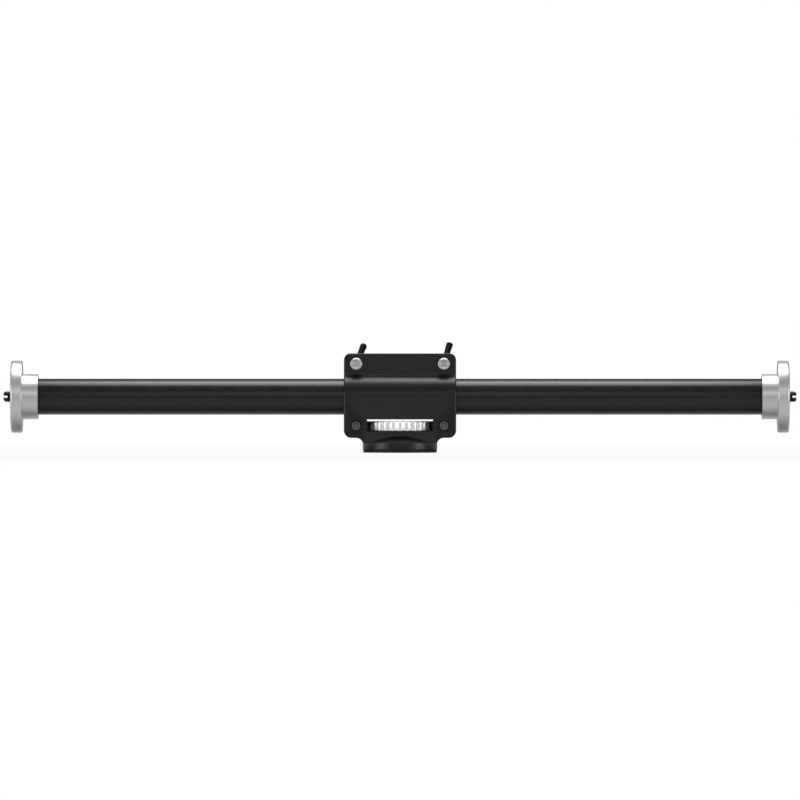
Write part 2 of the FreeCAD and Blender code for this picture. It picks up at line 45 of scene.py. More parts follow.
import bmesh
import bpy
from mathutils import Matrix, Vector

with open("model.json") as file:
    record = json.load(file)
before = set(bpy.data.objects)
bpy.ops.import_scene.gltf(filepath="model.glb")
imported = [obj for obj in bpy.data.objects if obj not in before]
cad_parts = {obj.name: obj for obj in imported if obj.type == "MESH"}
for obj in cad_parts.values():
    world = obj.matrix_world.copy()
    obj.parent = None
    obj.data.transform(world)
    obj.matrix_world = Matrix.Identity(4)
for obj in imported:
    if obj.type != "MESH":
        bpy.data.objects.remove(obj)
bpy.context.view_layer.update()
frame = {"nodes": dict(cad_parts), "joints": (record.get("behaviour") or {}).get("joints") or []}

X_AXIS = Vector((1, 0, 0))
Y_AXIS = Vector((0, 1, 0))
Z_AXIS = Vector((0, 0, 1))
FULL_TURN = 2 * math.pi
ROOT_3 = math.sqrt(3)
MERGE = 1e-7
SIDES = (("left", -1), ("right", 1))

# What a hole measures against what it holds
SNUG_FIT = 1.001
BUSH_FIT = 1.003
THREAD_FIT = 1.005
LOOSE_FIT = 1.02
WASHER_FIT = 1.04
MOUTH_FIT = 1.06


def spread(node):
    """The size of a node's box."""
    low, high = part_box(node)
    return high - low


TUBE_LOW, TUBE_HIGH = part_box("bar_tube")
TUBE_RADIUS = (TUBE_HIGH.z - TUBE_LOW.z) / 2
AXIS = Vector((0, 0, (TUBE_LOW.z + TUBE_HIGH.z) / 2))
CAP_LOW, CAP_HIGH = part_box("right_end_cap")
STUD_LOW, STUD_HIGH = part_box("right_stud")
GRUB_DIRECTION = Vector((0, 1, -1)).normalized()
LEVER_PIVOT = {joint["name"]: Vector(joint["pos_m"]) for joint in frame["joints"] if "pos_m" in joint}


# Settings

def number_setting(label, text, value, **options):
    """A setting for a plain number."""
    return bpy.props.FloatProperty(name=label, description=text, default=value, **options)


def length_setting(label, text, value):
    """A setting for a length in metres."""
    return number_setting(label, text, value, unit="LENGTH")


def count_setting(label, text, value):
    """A setting for a whole number."""
    return bpy.props.IntProperty(name=label, description=text, default=value)


def colour_setting(label, text, value):
    """A setting for a colour."""
    return bpy.props.FloatVectorProperty(name=label, description=text, default=value, subtype="COLOR")


class CrossBarSizes(bpy.types.PropertyGroup):
    """Sizes of the details that the frame doesn't state."""
    edge_round: length_setting("Edge round", "Radius on the edges of turned pieces", 0.00035)
    collar_radius: length_setting("Collar radius", "Outer radius of the end caps' collars", 0.0188)
    flange_thickness: length_setting("Flange thickness",
                                     "Thickness of the end caps' flanges", 0.00925)
    flange_chamfer: length_setting("Flange chamfer", "Chamfer on the flange's outer edge", 0.0009)
    tube_wall: length_setting("Tube wall", "Wall thickness of the tube", 0.002)
    stud_core: length_setting("Stud core radius",
                              "Radius at the root of the studs' thread", 0.00397)
    stud_pitch: length_setting("Stud pitch", "Pitch of the 3/8 inch thread", 0.0015875)
    stud_chamfer: length_setting("Stud chamfer", "Chamfer at the studs' tips", 0.0017)
    stud_slot: length_setting("Stud slot", "Width of the screwdriver slot", 0.0017)
    stud_slot_depth: length_setting("Slot depth", "Depth of the screwdriver slot", 0.0034)
    grub_radius: length_setting("Grub screw radius", "Radius of the headless screws", 0.002)
    pad_bore: length_setting("Pad bore", "Radius of the hole in the foot pad", 0.012)
    pad_grooves: count_setting("Pad grooves", "Number of grip grooves under the foot pad", 7)
    wheel_radius: length_setting("Wheel radius", "Radius over the lock wheel's lobes", 0.0254)
    wheel_lobe_shape: number_setting("Lobe shape",
                                     "Lower values make broad lobes with narrow grooves", 0.9)
    wheel_lobes: count_setting("Wheel lobes", "Number of lobes round the lock wheel", 24)
    wheel_flute: length_setting("Wheel flute depth",
                                "Depth of the grooves between the lobes", 0.0013)
    wheel_round: length_setting("Wheel edge round", "Radius on the lock wheel's edges", 0.0011)
    bolt_head: length_setting("Bolt head", "Height of the clamp bolts' heads", 0.006)
    bolt_radius: length_setting("Bolt radius", "Radius of the clamp bolts' shanks", 0.003)
    jaw_screw_head: length_setting("Jaw screw head", "Height of the jaw screws' heads", 0.005)
    jaw_screw_radius: length_setting("Jaw screw radius", "Radius of the jaw screws' shanks", 0.0025)
    head_chamfer: length_setting("Head chamfer", "Chamfers on the socket screws' heads", 0.0006)
    knurl_depth: length_setting("Knurl depth", "Depth of the knurl on the screw heads", 0.00018)
    bolt_hex: length_setting("Bolt socket", "Width of the clamp bolts' hexagon socket", 0.005)
    jaw_screw_hex: length_setting("Jaw screw socket",
                                  "Width of the jaw screws' hexagon socket", 0.004)
    grub_hex: length_setting("Grub screw socket", "Width of the grub screws' hexagon socket", 0.002)
    hub_radius: length_setting("Hub radius", "Radius of the lever's hub", 0.007)
    hub_length: length_setting("Hub length", "Length of the lever's hub", 0.015)
    hub_round: length_setting("Hub round", "Radius on the hub's edges", 0.0008)
    arm_root: length_setting("Arm root radius", "Radius of the lever's arm at its hub", 0.0026)
    arm_tip: length_setting("Arm tip radius", "Radius of the lever's arm at its tip", 0.0029)
    arm_reach: length_setting("Arm reach", "Distance of the arm's tip from the bolt", 0.0176)
    arm_rise: length_setting("Arm rise", "How far the arm leans out backwards", 0.010)
    lever_grid: length_setting("Lever grid", "Mesh size of the lever's blended body", 0.00028)
    left_lean: number_setting("Left lever lean",
                              "Turn of the left lever to the right, in degrees", 22.0)
    right_lean: number_setting("Right lever lean",
                               "Turn of the right lever to the right, in degrees", 17.0)
    left_tip_round: length_setting("Left tip round", "Radius on the left lever's tip", 0.0020)
    right_tip_round: length_setting("Right tip round", "Radius on the right lever's tip", 0.0008)
    insert_neck: length_setting("Insert neck", "Radius of the toothed insert's neck", 0.0034)
    teeth_radius: length_setting("Teeth radius",
                                 "Radius of the space for the insert's teeth", 0.00472)
    teeth_length: length_setting("Teeth length", "Depth of the space for the insert's teeth", 0.003)
    chamber_radius: length_setting("Spring chamber radius",
                                   "Radius of the hub's spring chamber", 0.0053)
    lever_screw_radius: length_setting("Lever screw radius",
                                       "Radius of the lever screws' shanks", 0.002)
    lever_screw_slot: length_setting("Lever screw slot",
                                     "Width and depth of the lever screws' slots", 0.001)
    spring_end_turns: number_setting("Closed turns",
                                     "Turns closed up at each end of a spring", 0.75)
    spring_open_turns: number_setting("Open turns", "Open turns in a spring", 1.5)
    spring_wire: length_setting("Spring wire", "Diameter of the lever springs' wire", 0.0007)


class CrossBarColours(bpy.types.PropertyGroup):
    """Colours of the finishes."""
    coat: colour_setting("Coat", "Black coat of the castings", (0.004, 0.004, 0.004))
    anodised: colour_setting("Anodised tube", "Black of the tube", (0.005, 0.005, 0.005))
    aluminium: colour_setting("Aluminium", "Bare turned aluminium", (0.46, 0.46, 0.455))
    wheel: colour_setting("Lock wheel", "Polished aluminium of the lock wheel", (0.95, 0.95, 0.95))
    lever: colour_setting("Levers", "Black of the clamping levers", (0.002, 0.002, 0.002))
    bolt: colour_setting("Cap screws", "Dark plated steel of the socket screws", (0.2, 0.2, 0.203))
    zinc: colour_setting("Bright steel", "Bright plated screws", (0.34, 0.34, 0.345))
    oxide: colour_setting("Black steel", "Black oxide of studs and screws", (0.055, 0.055, 0.058))
    rubber: colour_setting("Rubber", "Foot pad and seals", (0.006, 0.006, 0.006))
    nylon: colour_setting("Nylon", "Liner and thrust washer", (0.03, 0.03, 0.03))
    wire: colour_setting("Spring wire", "Drawn spring steel", (0.35, 0.35, 0.36))


class CrossBarStage(bpy.types.PropertyGroup):
    """The camera, lamps and floor."""
    camera_distance: length_setting("Camera distance", "Distance from the clamp", 9.1)
    camera_height: length_setting("Camera height", "Height above the floor", 0.094)
    framed_width: length_setting("Framed width", "Width of the view at the clamp", 0.6667)
    aim_height: length_setting("Aim height", "Height that the camera looks at", 0.04375)
    overhead_power: number_setting("Overhead lamp", "Power of the overhead lamp in watts", 12.5)
    overhead_length: length_setting("Overhead length",
                                    "Length of the overhead lamp along the tube", 1.0)
    overhead_depth: length_setting("Overhead depth", "Depth of the overhead lamp", 0.6)
    overhead_back: length_setting("Overhead back",
                                  "How far the overhead lamp stands behind the clamp", 0.16)
    overhead_height: length_setting("Overhead height", "Height of the overhead lamp", 0.95)
    front_power: number_setting("Front lamp", "Power of the front lamp in watts", 2.2)
    front_length: length_setting("Front length", "Length of the front lamp along the tube", 1.4)
    front_depth: length_setting("Front depth", "Height of the front lamp's face", 0.6)
    front_distance: length_setting("Front distance",
                                   "Distance of the front lamp from the clamp", 1.6)
    front_height: length_setting("Front height", "Height of the front lamp's middle", 0.6)
    wing_power: number_setting("Wing lamps", "Power of each lamp at the sides in watts", 8.0)
    wing_length: length_setting("Wing length", "Width of each lamp at the sides", 0.8)
    wing_depth: length_setting("Wing depth", "Height of each lamp at the sides", 0.4)
    wing_side: length_setting("Wing side", "Distance of each side lamp from the middle", 1.35)
    wing_distance: length_setting("Wing distance", "Distance of the side lamps in front", 0.75)
    wing_height: length_setting("Wing height", "Height of the side lamps' middles", 0.22)
    floor_radius: length_setting("Floor radius", "Radius of the floor", 3.0)
    floor_drop: length_setting("Floor drop", "Gap between the foot pad and the floor", 0.0001)
    floor_glow: number_setting("Floor glow",
                               "Share of plain white in the floor round the object", 0.9)
    floor_colour: colour_setting("Floor colour", "Pale floor under the object", (0.5, 0.5, 0.5))
    mirrored_white: number_setting("Mirrored white",
                                   "Share of the white background that gloss shows", 0.1)
    surround: number_setting("Surroundings", "Grey of the light from all round", 0.18)


def sizes():
    return bpy.context.scene.cross_bar_sizes


def colours():
    return bpy.context.scene.cross_bar_colours


def stage_settings():
    return bpy.context.scene.cross_bar_stage


# Mesh helpers

def set_smooth(mesh, angle):
    """Shade smoothly, with edges sharper than the angle kept sharp."""
    mesh.polygons.foreach_set("use_smooth", [True] * len(mesh.polygons))
    mesh.set_sharp_from_angle(angle=math.radians(angle))


def as_object(bm, name):
    """A new object at the origin from a bmesh, with doubles merged and normals outwards."""
    bmesh.ops.remove_doubles(bm, verts=bm.verts, dist=MERGE)
    bmesh.ops.recalc_face_normals(bm, faces=bm.faces)
    mesh = bpy.data.meshes.new(name)
    bm.to_mesh(mesh)
    bm.free()
    piece = bpy.data.objects.new(name, mesh)
    bpy.context.scene.collection.objects.link(piece)
    return piece


def apply_modifiers(piece):
    """Replace the piece's mesh by what its modifiers make of it."""
    graph = bpy.context.evaluated_depsgraph_get()
    made = bpy.data.meshes.new_from_object(piece.evaluated_get(graph))
    old = piece.data
    piece.modifiers.clear()
    piece.data = made
    bpy.data.meshes.remove(old)
    made.name = piece.name
    return piece


def combine(piece, others, operation):
    """Cut others from the piece, join them to it or keep what they share, and remove them."""
    for other in others:
        modifier = piece.modifiers.new("combine", "BOOLEAN")
        modifier.operation = operation
        modifier.solver = "EXACT"
        modifier.object = other
        apply_modifiers(piece)
        mesh = other.data
        bpy.data.objects.remove(other)
        bpy.data.meshes.remove(mesh)
        if not piece.data.polygons:
            raise RuntimeError(piece.name + " is empty after " + operation)
    return piece


def cut(piece, *cutters):
    return combine(piece, cutters, "DIFFERENCE")


def join(piece, *others):
    return combine(piece, others, "UNION")


def finish(piece, body, nodes, material, sharp=32):
    """Shade a finished piece, give it its material and put it on its body in place of its nodes."""
    if not piece.data.polygons:
        raise RuntimeError(piece.name + " came out empty")
    set_smooth(piece.data, sharp)
    piece.data.materials.clear()
    piece.data.materials.append(material)
    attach(piece, body)
    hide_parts(*nodes)
    return piece


def aim(bm, start, direction):
    """Move what was made from the origin along +Z to start, and turn it to point along direction."""
    turn = Z_AXIS.rotation_difference(direction).to_matrix().to_4x4()
    bmesh.ops.transform(bm, matrix=Matrix.Translation(start) @ turn, verts=bm.verts)


def round_edges(bm, width, segments=3, angle=30):
    """Bevel the edges that are sharper than the angle."""
    limit = math.radians(angle)
    sharp = [edge for edge in bm.edges if len(edge.link_faces) == 2 and edge.calc_face_angle() > limit]
    bmesh.ops.bevel(bm, geom=sharp, offset=width, affect="EDGES", segments=segments, profile=0.5,
                    material=-1, clamp_overlap=True)


def spun_bmesh(profile, steps=96, closed=False):
    """A turned shape round Z from a profile of (radius, height)."""
    bm = bmesh.new()
    corners = [bm.verts.new((radius, 0, height)) for radius, height in profile]
    pairs = list(zip(corners, corners[1:]))
    if closed:
        pairs.append((corners[-1], corners[0]))
    edges = [bm.edges.new(pair) for pair in pairs]
    bmesh.ops.spin(bm, geom=corners + edges, cent=(0, 0, 0), axis=Z_AXIS, dvec=(0, 0, 0),
                   angle=FULL_TURN, steps=steps, use_merge=True, use_duplicate=False)
    bmesh.ops.remove_doubles(bm, verts=bm.verts, dist=MERGE)
    bmesh.ops.recalc_face_normals(bm, faces=bm.faces)
    return bm


def turned(name, profile, start, direction, edge=0.0, steps=96, closed=False):
    """A turned piece with eased edges, aimed along direction."""
    bm = spun_bmesh(profile, steps, closed)
    if edge:
        round_edges(bm, edge)
    aim(bm, start, direction)
    return as_object(bm, name)


def ribbed_bmesh(radius, depth, ribs, steps_per_rib, low, high, flatness):
    """A prism round Z whose side waves between the radius and the bottom of its grooves."""
    bm = bmesh.new()
    bmesh.ops.create_circle(bm, cap_ends=True, cap_tris=False, segments=ribs * steps_per_rib, radius=radius)
    for vert in bm.verts:
        angle = math.atan2(vert.co.y, vert.co.x)
        wave = abs(math.cos(ribs * angle / 2)) ** flatness
        vert.co *= (radius - depth * (1 - wave)) / radius
        vert.co.z = low
    grown = bmesh.ops.extrude_face_region(bm, geom=bm.faces[:])
    top = [item for item in grown["geom"] if isinstance(item, bmesh.types.BMVert)]
    bmesh.ops.translate(bm, verts=top, vec=(0, 0, high - low))
    bmesh.ops.recalc_face_normals(bm, faces=bm.faces)
    return bm


def prism(name, sides, radius, length, start, direction, turn=0.0):
    """A straight prism, as a cutter for sockets and holes."""
    bm = bmesh.new()
    place = Matrix.Translation((0, 0, length / 2)) @ Matrix.Rotation(turn, 4, "Z")
    bmesh.ops.create_cone(bm, cap_ends=True, cap_tris=False, segments=sides, radius1=radius, radius2=radius,
                          depth=length, matrix=place)
    aim(bm, start, direction)
    return as_object(bm, name)


def slab(name, centre, size):
    """A box, as a cutter for slots."""
    bm = bmesh.new()
    bmesh.ops.create_cube(bm, size=1, matrix=Matrix.Translation(centre) @ Matrix.Diagonal((*size, 1)))
    return as_object(bm, name)


def thread_bmesh(major, minor, pitch, low, high, steps=36):
    """A closed threaded rod round Z: one pitch of the thread's profile swept along a helix."""
    bm = bmesh.new()
    turns = math.ceil((high - low) / pitch) + 3
    base = low - 1.5 * pitch
    crest = pitch / 8
    flank = (pitch - 2 * crest) / 2
    profile = [(minor, 0), (minor, crest), (major, crest + flank), (major, 2 * crest + flank),
               (minor, pitch)]
    corners = [bm.verts.new((radius, 0, base + height)) for radius, height in profile]
    edges = [bm.edges.new(pair) for pair in zip(corners, corners[1:])]
    bmesh.ops.spin(bm, geom=corners + edges, cent=(0, 0, 0), axis=Z_AXIS, dvec=(0, 0, pitch / steps),
                   angle=FULL_TURN * turns, steps=steps * turns, use_merge=False, use_duplicate=False)
    bmesh.ops.remove_doubles(bm, verts=bm.verts, dist=MERGE * 20)
    for height, outward in ((low, -1), (high, 1)):
        bmesh.ops.bisect_plane(bm, geom=bm.verts[:] + bm.edges[:] + bm.faces[:], dist=MERGE,
                               plane_co=(0, 0, height), plane_no=(0, 0, outward), clear_outer=True)
    rims = [edge for edge in bm.edges if edge.is_boundary]
    bmesh.ops.holes_fill(bm, edges=rims, sides=0)
    bmesh.ops.recalc_face_normals(bm, faces=bm.faces)
    return bm


# Material helpers

def place(tree, kind, settings=None, inputs=None):
    """Add a node, set its properties, and set or link its inputs."""
    node = tree.nodes.new(kind)
    for name, value in (settings or {}).items():
        setattr(node, name, value)
    for name, value in (inputs or {}).items():
        if isinstance(value, bpy.types.NodeSocket):
            tree.links.new(value, node.inputs[name])
        else:
            node.inputs[name].default_value = value
    return node


def math_node(tree, operation, first, second=0.0):
    return place(tree, "ShaderNodeMath", {"operation": operation}, {0: first, 1: second}).outputs[0]


def mixed(tree, factor, first, second, blend="MIX"):
    """A colour mix; sockets 6 and 7 are its two colours and output 2 its result."""
    node = place(tree, "ShaderNodeMix", {"data_type": "RGBA", "blend_type": blend},
                 {0: factor, 6: first, 7: second})
    return node.outputs[2]


def stepped(tree, value, low, high):
    """The value stretched so that low becomes 0 and high becomes 1."""
    node = place(tree, "ShaderNodeMapRange", {"interpolation_type": "SMOOTHSTEP"},
                 {0: value, 1: low, 2: high, 3: 0.0, 4: 1.0})
    return node.outputs[0]


def noise(tree, vector, scale, detail=3.0, roughness=0.5):
    node = place(tree, "ShaderNodeTexNoise", {},
                 {"Vector": vector, "Scale": scale, "Detail": detail, "Roughness": roughness})
    return node.outputs["Fac"]


def opaque(colour):
    return (*colour, 1.0)


def begin_group(name, inputs, outputs):
    """A node group with named inputs (name, kind, default) and outputs (name, kind)."""
    tree = bpy.data.node_groups.new(name, "ShaderNodeTree")
    for label, kind, default in inputs:
        socket = tree.interface.new_socket(name=label, in_out="INPUT", socket_type="NodeSocket" + kind)
        if default is not None:
            socket.default_value = default
    for label, kind in outputs:
        tree.interface.new_socket(name=label, in_out="OUTPUT", socket_type="NodeSocket" + kind)
    return tree, tree.nodes.new("NodeGroupInput"), tree.nodes.new("NodeGroupOutput")


def group_of(name, make):
    """The named group, made the first time that it is asked for."""
    return bpy.data.node_groups.get(name) or make(name)


def grain_group(name):
    """Fine grain with a slow mottle: a coat's colour, roughness and height."""
    tree, start, end = begin_group(
        name,
        [("Vector", "Vector", None), ("Scale", "Float", 3000.0), ("Colour", "Color", None),
         ("Light Colour", "Color", None), ("Roughness", "Float", 0.4), ("Spread", "Float", 0.1)],
        [("Colour", "Color"), ("Roughness", "Float"), ("Height", "Float")])
    vector = start.outputs["Vector"]
    fine = noise(tree, vector, start.outputs["Scale"], 5.0, 0.6)
    slow_scale, pit_scale, pit_share = 0.02, 0.6, 0.5
    slow = noise(tree, vector, math_node(tree, "MULTIPLY", start.outputs["Scale"], slow_scale), 4.0)
    spacing = math_node(tree, "MULTIPLY", start.outputs["Scale"], pit_scale)
    pits = place(tree, "ShaderNodeTexVoronoi", {"feature": "F1"}, {"Vector": vector, "Scale": spacing})
    blended = math_node(tree, "MULTIPLY", math_node(tree, "ADD", fine, slow), 0.5)
    mottled = mixed(tree, stepped(tree, blended, 0.35, 0.7),
                    start.outputs["Colour"], start.outputs["Light Colour"])
    swing = math_node(tree, "SUBTRACT", blended, 0.5)
    change = math_node(tree, "MULTIPLY", swing, start.outputs["Spread"])
    rough = math_node(tree, "ADD", start.outputs["Roughness"], change)
    height = math_node(tree, "ADD", fine, math_node(tree, "MULTIPLY", pits.outputs["Distance"], pit_share))
    tree.links.new(mottled, end.inputs["Colour"])
    tree.links.new(rough, end.inputs["Roughness"])
    tree.links.new(height, end.inputs["Height"])
    return tree


def wear_and_highlight_group(name):
    """Lighter convex edges, partly edge rubbing and partly a painted edge highlight: a mask along convex
    edges, broken up by noise, and the lighter colour painted there.
    """
    tree, start, end = begin_group(
        name,
        [("Vector", "Vector", None), ("Colour", "Color", None), ("Edge Wear And Highlight Colour", "Color", None),
         ("Amount", "Float", 0.3), ("Scale", "Float", 400.0)],
        [("Colour", "Color")])
    # Convex edges found by pointiness get a lighter colour: edge rubbing plus a painted highlight where
    # rounded edges would catch light
    ragged, worn_from, worn_to = 0.08, 0.53, 0.60
    edge = tree.nodes.new("ShaderNodeNewGeometry").outputs["Pointiness"]
    patches = noise(tree, start.outputs["Vector"], start.outputs["Scale"], 5.0, 0.65)
    swing = math_node(tree, "SUBTRACT", patches, 0.5)
    raised = math_node(tree, "ADD", edge, math_node(tree, "MULTIPLY", swing, ragged))
    mask = math_node(tree, "MULTIPLY", stepped(tree, raised, worn_from, worn_to), start.outputs["Amount"])
    # The painted edge highlight and the edge rubbing are mixed into the colour here
    worn = mixed(tree, mask, start.outputs["Colour"], start.outputs["Edge Wear And Highlight Colour"])
    tree.links.new(worn, end.inputs["Colour"])
    return tree


def lathe_group(name):
    """Turning marks round the X axis: rings on end faces and fine rounds on cylinders."""
    tree, start, end = begin_group(
        name,
        [("Vector", "Vector", None), ("Scale", "Float", 4000.0)],
        [("Height", "Float"), ("Mask", "Float")])
    parts = place(tree, "ShaderNodeSeparateXYZ", {}, {0: start.outputs["Vector"]})
    across = place(tree, "ShaderNodeCombineXYZ", {}, {1: parts.outputs[1], 2: parts.outputs[2]})
    radius = place(tree, "ShaderNodeVectorMath", {"operation": "LENGTH"}, {0: across.outputs[0]})
    along = place(tree, "ShaderNodeCombineXYZ", {}, {0: parts.outputs[0], 1: radius.outputs["Value"]})
    band_scale, band_share = 0.12, 0.6
    tooth = noise(tree, along.outputs[0], start.outputs["Scale"], 2.0)
    bands = noise(tree, along.outputs[0],
                  math_node(tree, "MULTIPLY", start.outputs["Scale"], band_scale), 3.0)
    height = math_node(tree, "ADD", tooth, math_node(tree, "MULTIPLY", bands, band_share))
    tree.links.new(height, end.inputs["Height"])
    tree.links.new(stepped(tree, bands, 0.35, 0.65), end.inputs["Mask"])
    return tree


def drawn_group(name):
    """Faint lines drawn along X, as on extruded tube."""
    tree, start, end = begin_group(
        name,
        [("Vector", "Vector", None), ("Scale", "Float", 2500.0)],
        [("Height", "Float"), ("Mask", "Float")])
    stretch = (0.02, 1.0, 1.0)
    squeezed = place(tree, "ShaderNodeVectorMath", {"operation": "MULTIPLY"},
                     {0: start.outputs["Vector"], 1: stretch})
    lines = noise(tree, squeezed.outputs[0], start.outputs["Scale"], 3.0)
    tree.links.new(lines, end.inputs["Height"])
    tree.links.new(stepped(tree, lines, 0.4, 0.65), end.inputs["Mask"])
    return tree


def dust_group(name):
    """A little dust on what faces up."""
    tree, start, end = begin_group(
        name,
        [("Vector", "Vector", None), ("Colour", "Color", None),
         ("Dust Colour", "Color", (0.2, 0.19, 0.18, 1.0)), ("Amount", "Float", 0.03)],
        [("Colour", "Color")])
    normal = tree.nodes.new("ShaderNodeNewGeometry").outputs["Normal"]
    upward = place(tree, "ShaderNodeSeparateXYZ", {}, {0: normal}).outputs[2]
    speck_scale = 1800.0
    specks = noise(tree, start.outputs["Vector"], speck_scale, 6.0, 0.7)
    lying = math_node(tree, "MULTIPLY", stepped(tree, upward, 0.2, 1.0), stepped(tree, specks, 0.45, 0.75))
    mask = math_node(tree, "MULTIPLY", lying, start.outputs["Amount"])
    dusty = mixed(tree, mask, start.outputs["Colour"], start.outputs["Dust Colour"])
    tree.links.new(dusty, end.inputs["Colour"])
    return tree


def used_group(tree, name, make, inputs):
    """Place a shared group in a material with that material's own values."""
    return place(tree, "ShaderNodeGroup", {"node_tree": group_of(name, make)}, inputs).outputs


def begin_material(name, centre=(0, 0, 0)):
    """A material with an empty tree, its shader, and object coordinates measured from a centre."""
    material = bpy.data.materials.new(name)
    material.use_nodes = True
    tree = material.node_tree
    tree.nodes.clear()
    shader = tree.nodes.new("ShaderNodeBsdfPrincipled")
    end = tree.nodes.new("ShaderNodeOutputMaterial")
    tree.links.new(shader.outputs[0], end.inputs[0])
    coordinates = tree.nodes.new("ShaderNodeTexCoord").outputs["Object"]
    mapping = place(tree, "ShaderNodeMapping", {},
                    {"Vector": coordinates, "Location": [-value for value in centre]})
    return material, tree, shader, mapping.outputs[0]


def bumped(tree, shader, height, distance):
    bump = place(tree, "ShaderNodeBump", {}, {"Height": height, "Distance": distance, "Strength": 1.0})
    tree.links.new(bump.outputs[0], shader.inputs["Normal"])


def toned(base, factor):
    """The colour made lighter or darker."""
    return opaque([value * factor for value in base])


def coated(name, base, lighter, roughness, spread_by, scale, bump, worn, wear, specular):
    """A black coat or plastic: grain, lighter convex edges (edge rubbing plus a painted edge highlight) and
    a trace of dust over a dielectric shader.
    """
    material, tree, shader, vector = begin_material(name)
    grain = used_group(tree, "coat_grain", grain_group,
                       {"Vector": vector, "Scale": scale, "Colour": opaque(base),
                        "Light Colour": toned(base, lighter), "Roughness": roughness, "Spread": spread_by})
    # Lightens convex edges: edge rubbing plus a painted edge highlight
    edges = used_group(tree, "edge_wear", wear_and_highlight_group,
                       {"Vector": vector, "Colour": grain["Colour"], "Edge Wear And Highlight Colour": opaque([worn] * 3),
                        "Amount": wear})
    dusty = used_group(tree, "dust", dust_group, {"Vector": vector, "Colour": edges["Colour"]})
    tree.links.new(dusty["Colour"], shader.inputs["Base Color"])
    tree.links.new(grain["Roughness"], shader.inputs["Roughness"])
    shader.inputs["Specular IOR Level"].default_value = specular
    bumped(tree, shader, grain["Height"], bump)
    return material


def anodised(name, base, roughness, spread_by, specular):
    """Black anodised tube: drawn lines and fine grain under a thin sheen."""
    line_tone, grain_height, bump = 0.25, 0.4, 0.000012
    material, tree, shader, vector = begin_material(name, AXIS)
    grain = used_group(tree, "coat_grain", grain_group,
                       {"Vector": vector, "Scale": 5200.0, "Colour": opaque(base),
                        "Light Colour": toned(base, 1.5), "Roughness": roughness, "Spread": spread_by})
    shader.inputs["Specular IOR Level"].default_value = specular
    lines = used_group(tree, "drawn_lines", drawn_group, {"Vector": vector})
    lined = mixed(tree, math_node(tree, "MULTIPLY", lines["Mask"], line_tone), grain["Colour"],
                  toned(base, 2.0))
    tree.links.new(lined, shader.inputs["Base Color"])
    tree.links.new(grain["Roughness"], shader.inputs["Roughness"])
    height = math_node(tree, "ADD", math_node(tree, "MULTIPLY", grain["Height"], grain_height),
                       lines["Height"])
    bumped(tree, shader, height, bump)
    return material


def aluminium(name, base, centre, roughness, metallic, upright=False):
    """Bare turned aluminium: lathe rounds, a slow change of tone, and convex edges painted brighter as edge
    rubbing plus a painted edge highlight.
    """
    # The edge colour 0.75 and its amount 0.6 paint the convex edges brighter: edge rubbing plus a painted
    # edge highlight
    band_tone, worn, wear, bump = 0.35, 0.75, 0.6, 0.00001
    material, tree, shader, vector = begin_material(name, centre)
    if upright:
        turn = (0, math.pi / 2, 0)
        vector = place(tree, "ShaderNodeMapping", {}, {"Vector": vector, "Rotation": turn}).outputs[0]
    grain = used_group(tree, "coat_grain", grain_group,
                       {"Vector": vector, "Scale": 1500.0, "Colour": toned(base, 0.92),
                        "Light Colour": opaque(base), "Roughness": roughness, "Spread": 0.14})
    lathe = used_group(tree, "lathe_marks", lathe_group, {"Vector": vector})
    banded = mixed(tree, math_node(tree, "MULTIPLY", lathe["Mask"], band_tone), grain["Colour"],
                   toned(base, 0.82))
    edges = used_group(tree, "edge_wear", wear_and_highlight_group,
                       {"Vector": vector, "Colour": banded, "Edge Wear And Highlight Colour": opaque([worn] * 3),
                        "Amount": wear})
    tree.links.new(edges["Colour"], shader.inputs["Base Color"])
    shader.inputs["Metallic"].default_value = metallic
    tree.links.new(grain["Roughness"], shader.inputs["Roughness"])
    bumped(tree, shader, lathe["Height"], bump)
    return material


def steel(name, base, worn, roughness):
    """Plated or drawn steel: fine grain over metal, with convex edges painted brighter as edge rubbing plus
    a painted edge highlight.
    """
    # The edge amount lightens convex edges toward the given edge colour: edge rubbing plus a painted edge
    # highlight
    wear, bump = 0.15, 0.000008
    material, tree, shader, vector = begin_material(name)
    grain = used_group(tree, "coat_grain", grain_group,
                       {"Vector": vector, "Scale": 5000.0, "Colour": toned(base, 0.85),
                        "Light Colour": opaque(base), "Roughness": roughness, "Spread": 0.2})
    edges = used_group(tree, "edge_wear", wear_and_highlight_group,
                       {"Vector": vector, "Colour": grain["Colour"], "Edge Wear And Highlight Colour": opaque(worn),
                        "Amount": wear})
    tree.links.new(edges["Colour"], shader.inputs["Base Color"])
    shader.inputs["Metallic"].default_value = 1.0
    tree.links.new(grain["Roughness"], shader.inputs["Roughness"])
    bumped(tree, shader, grain["Height"], bump)
    return material


def finish_of(name, make, *values, **options):
    """The named material, made the first time that it is asked for."""
    return bpy.data.materials.get(name) or make(name, *values, **options)


# The edge colour and amount in these coats lighten convex edges: edge rubbing plus a painted edge highlight
def black_coat():
    return finish_of("black_coat", coated, colours().coat, lighter=1.6, roughness=0.34, spread_by=0.3,
                     scale=2600.0, bump=0.00004, worn=0.04, wear=0.3, specular=0.32)


def black_lever():
    return finish_of("black_lever", coated, colours().lever, lighter=1.8, roughness=0.46, spread_by=0.14,
                     scale=2200.0, bump=0.00002, worn=0.02, wear=0.3, specular=0.08)


def black_rubber():
    return finish_of("black_rubber", coated, colours().rubber, lighter=1.8, roughness=0.62, spread_by=0.2,
                     scale=3000.0, bump=0.00004, worn=0.03, wear=0.4, specular=0.35)


def black_nylon():
    return finish_of("black_nylon", coated, colours().nylon, lighter=1.4, roughness=0.5, spread_by=0.15,
                     scale=2000.0, bump=0.00002, worn=0.06, wear=0.3, specular=0.4)


def black_anodised():
    return finish_of("black_anodised", anodised, colours().anodised, roughness=0.28, spread_by=0.24,
                     specular=0.38)


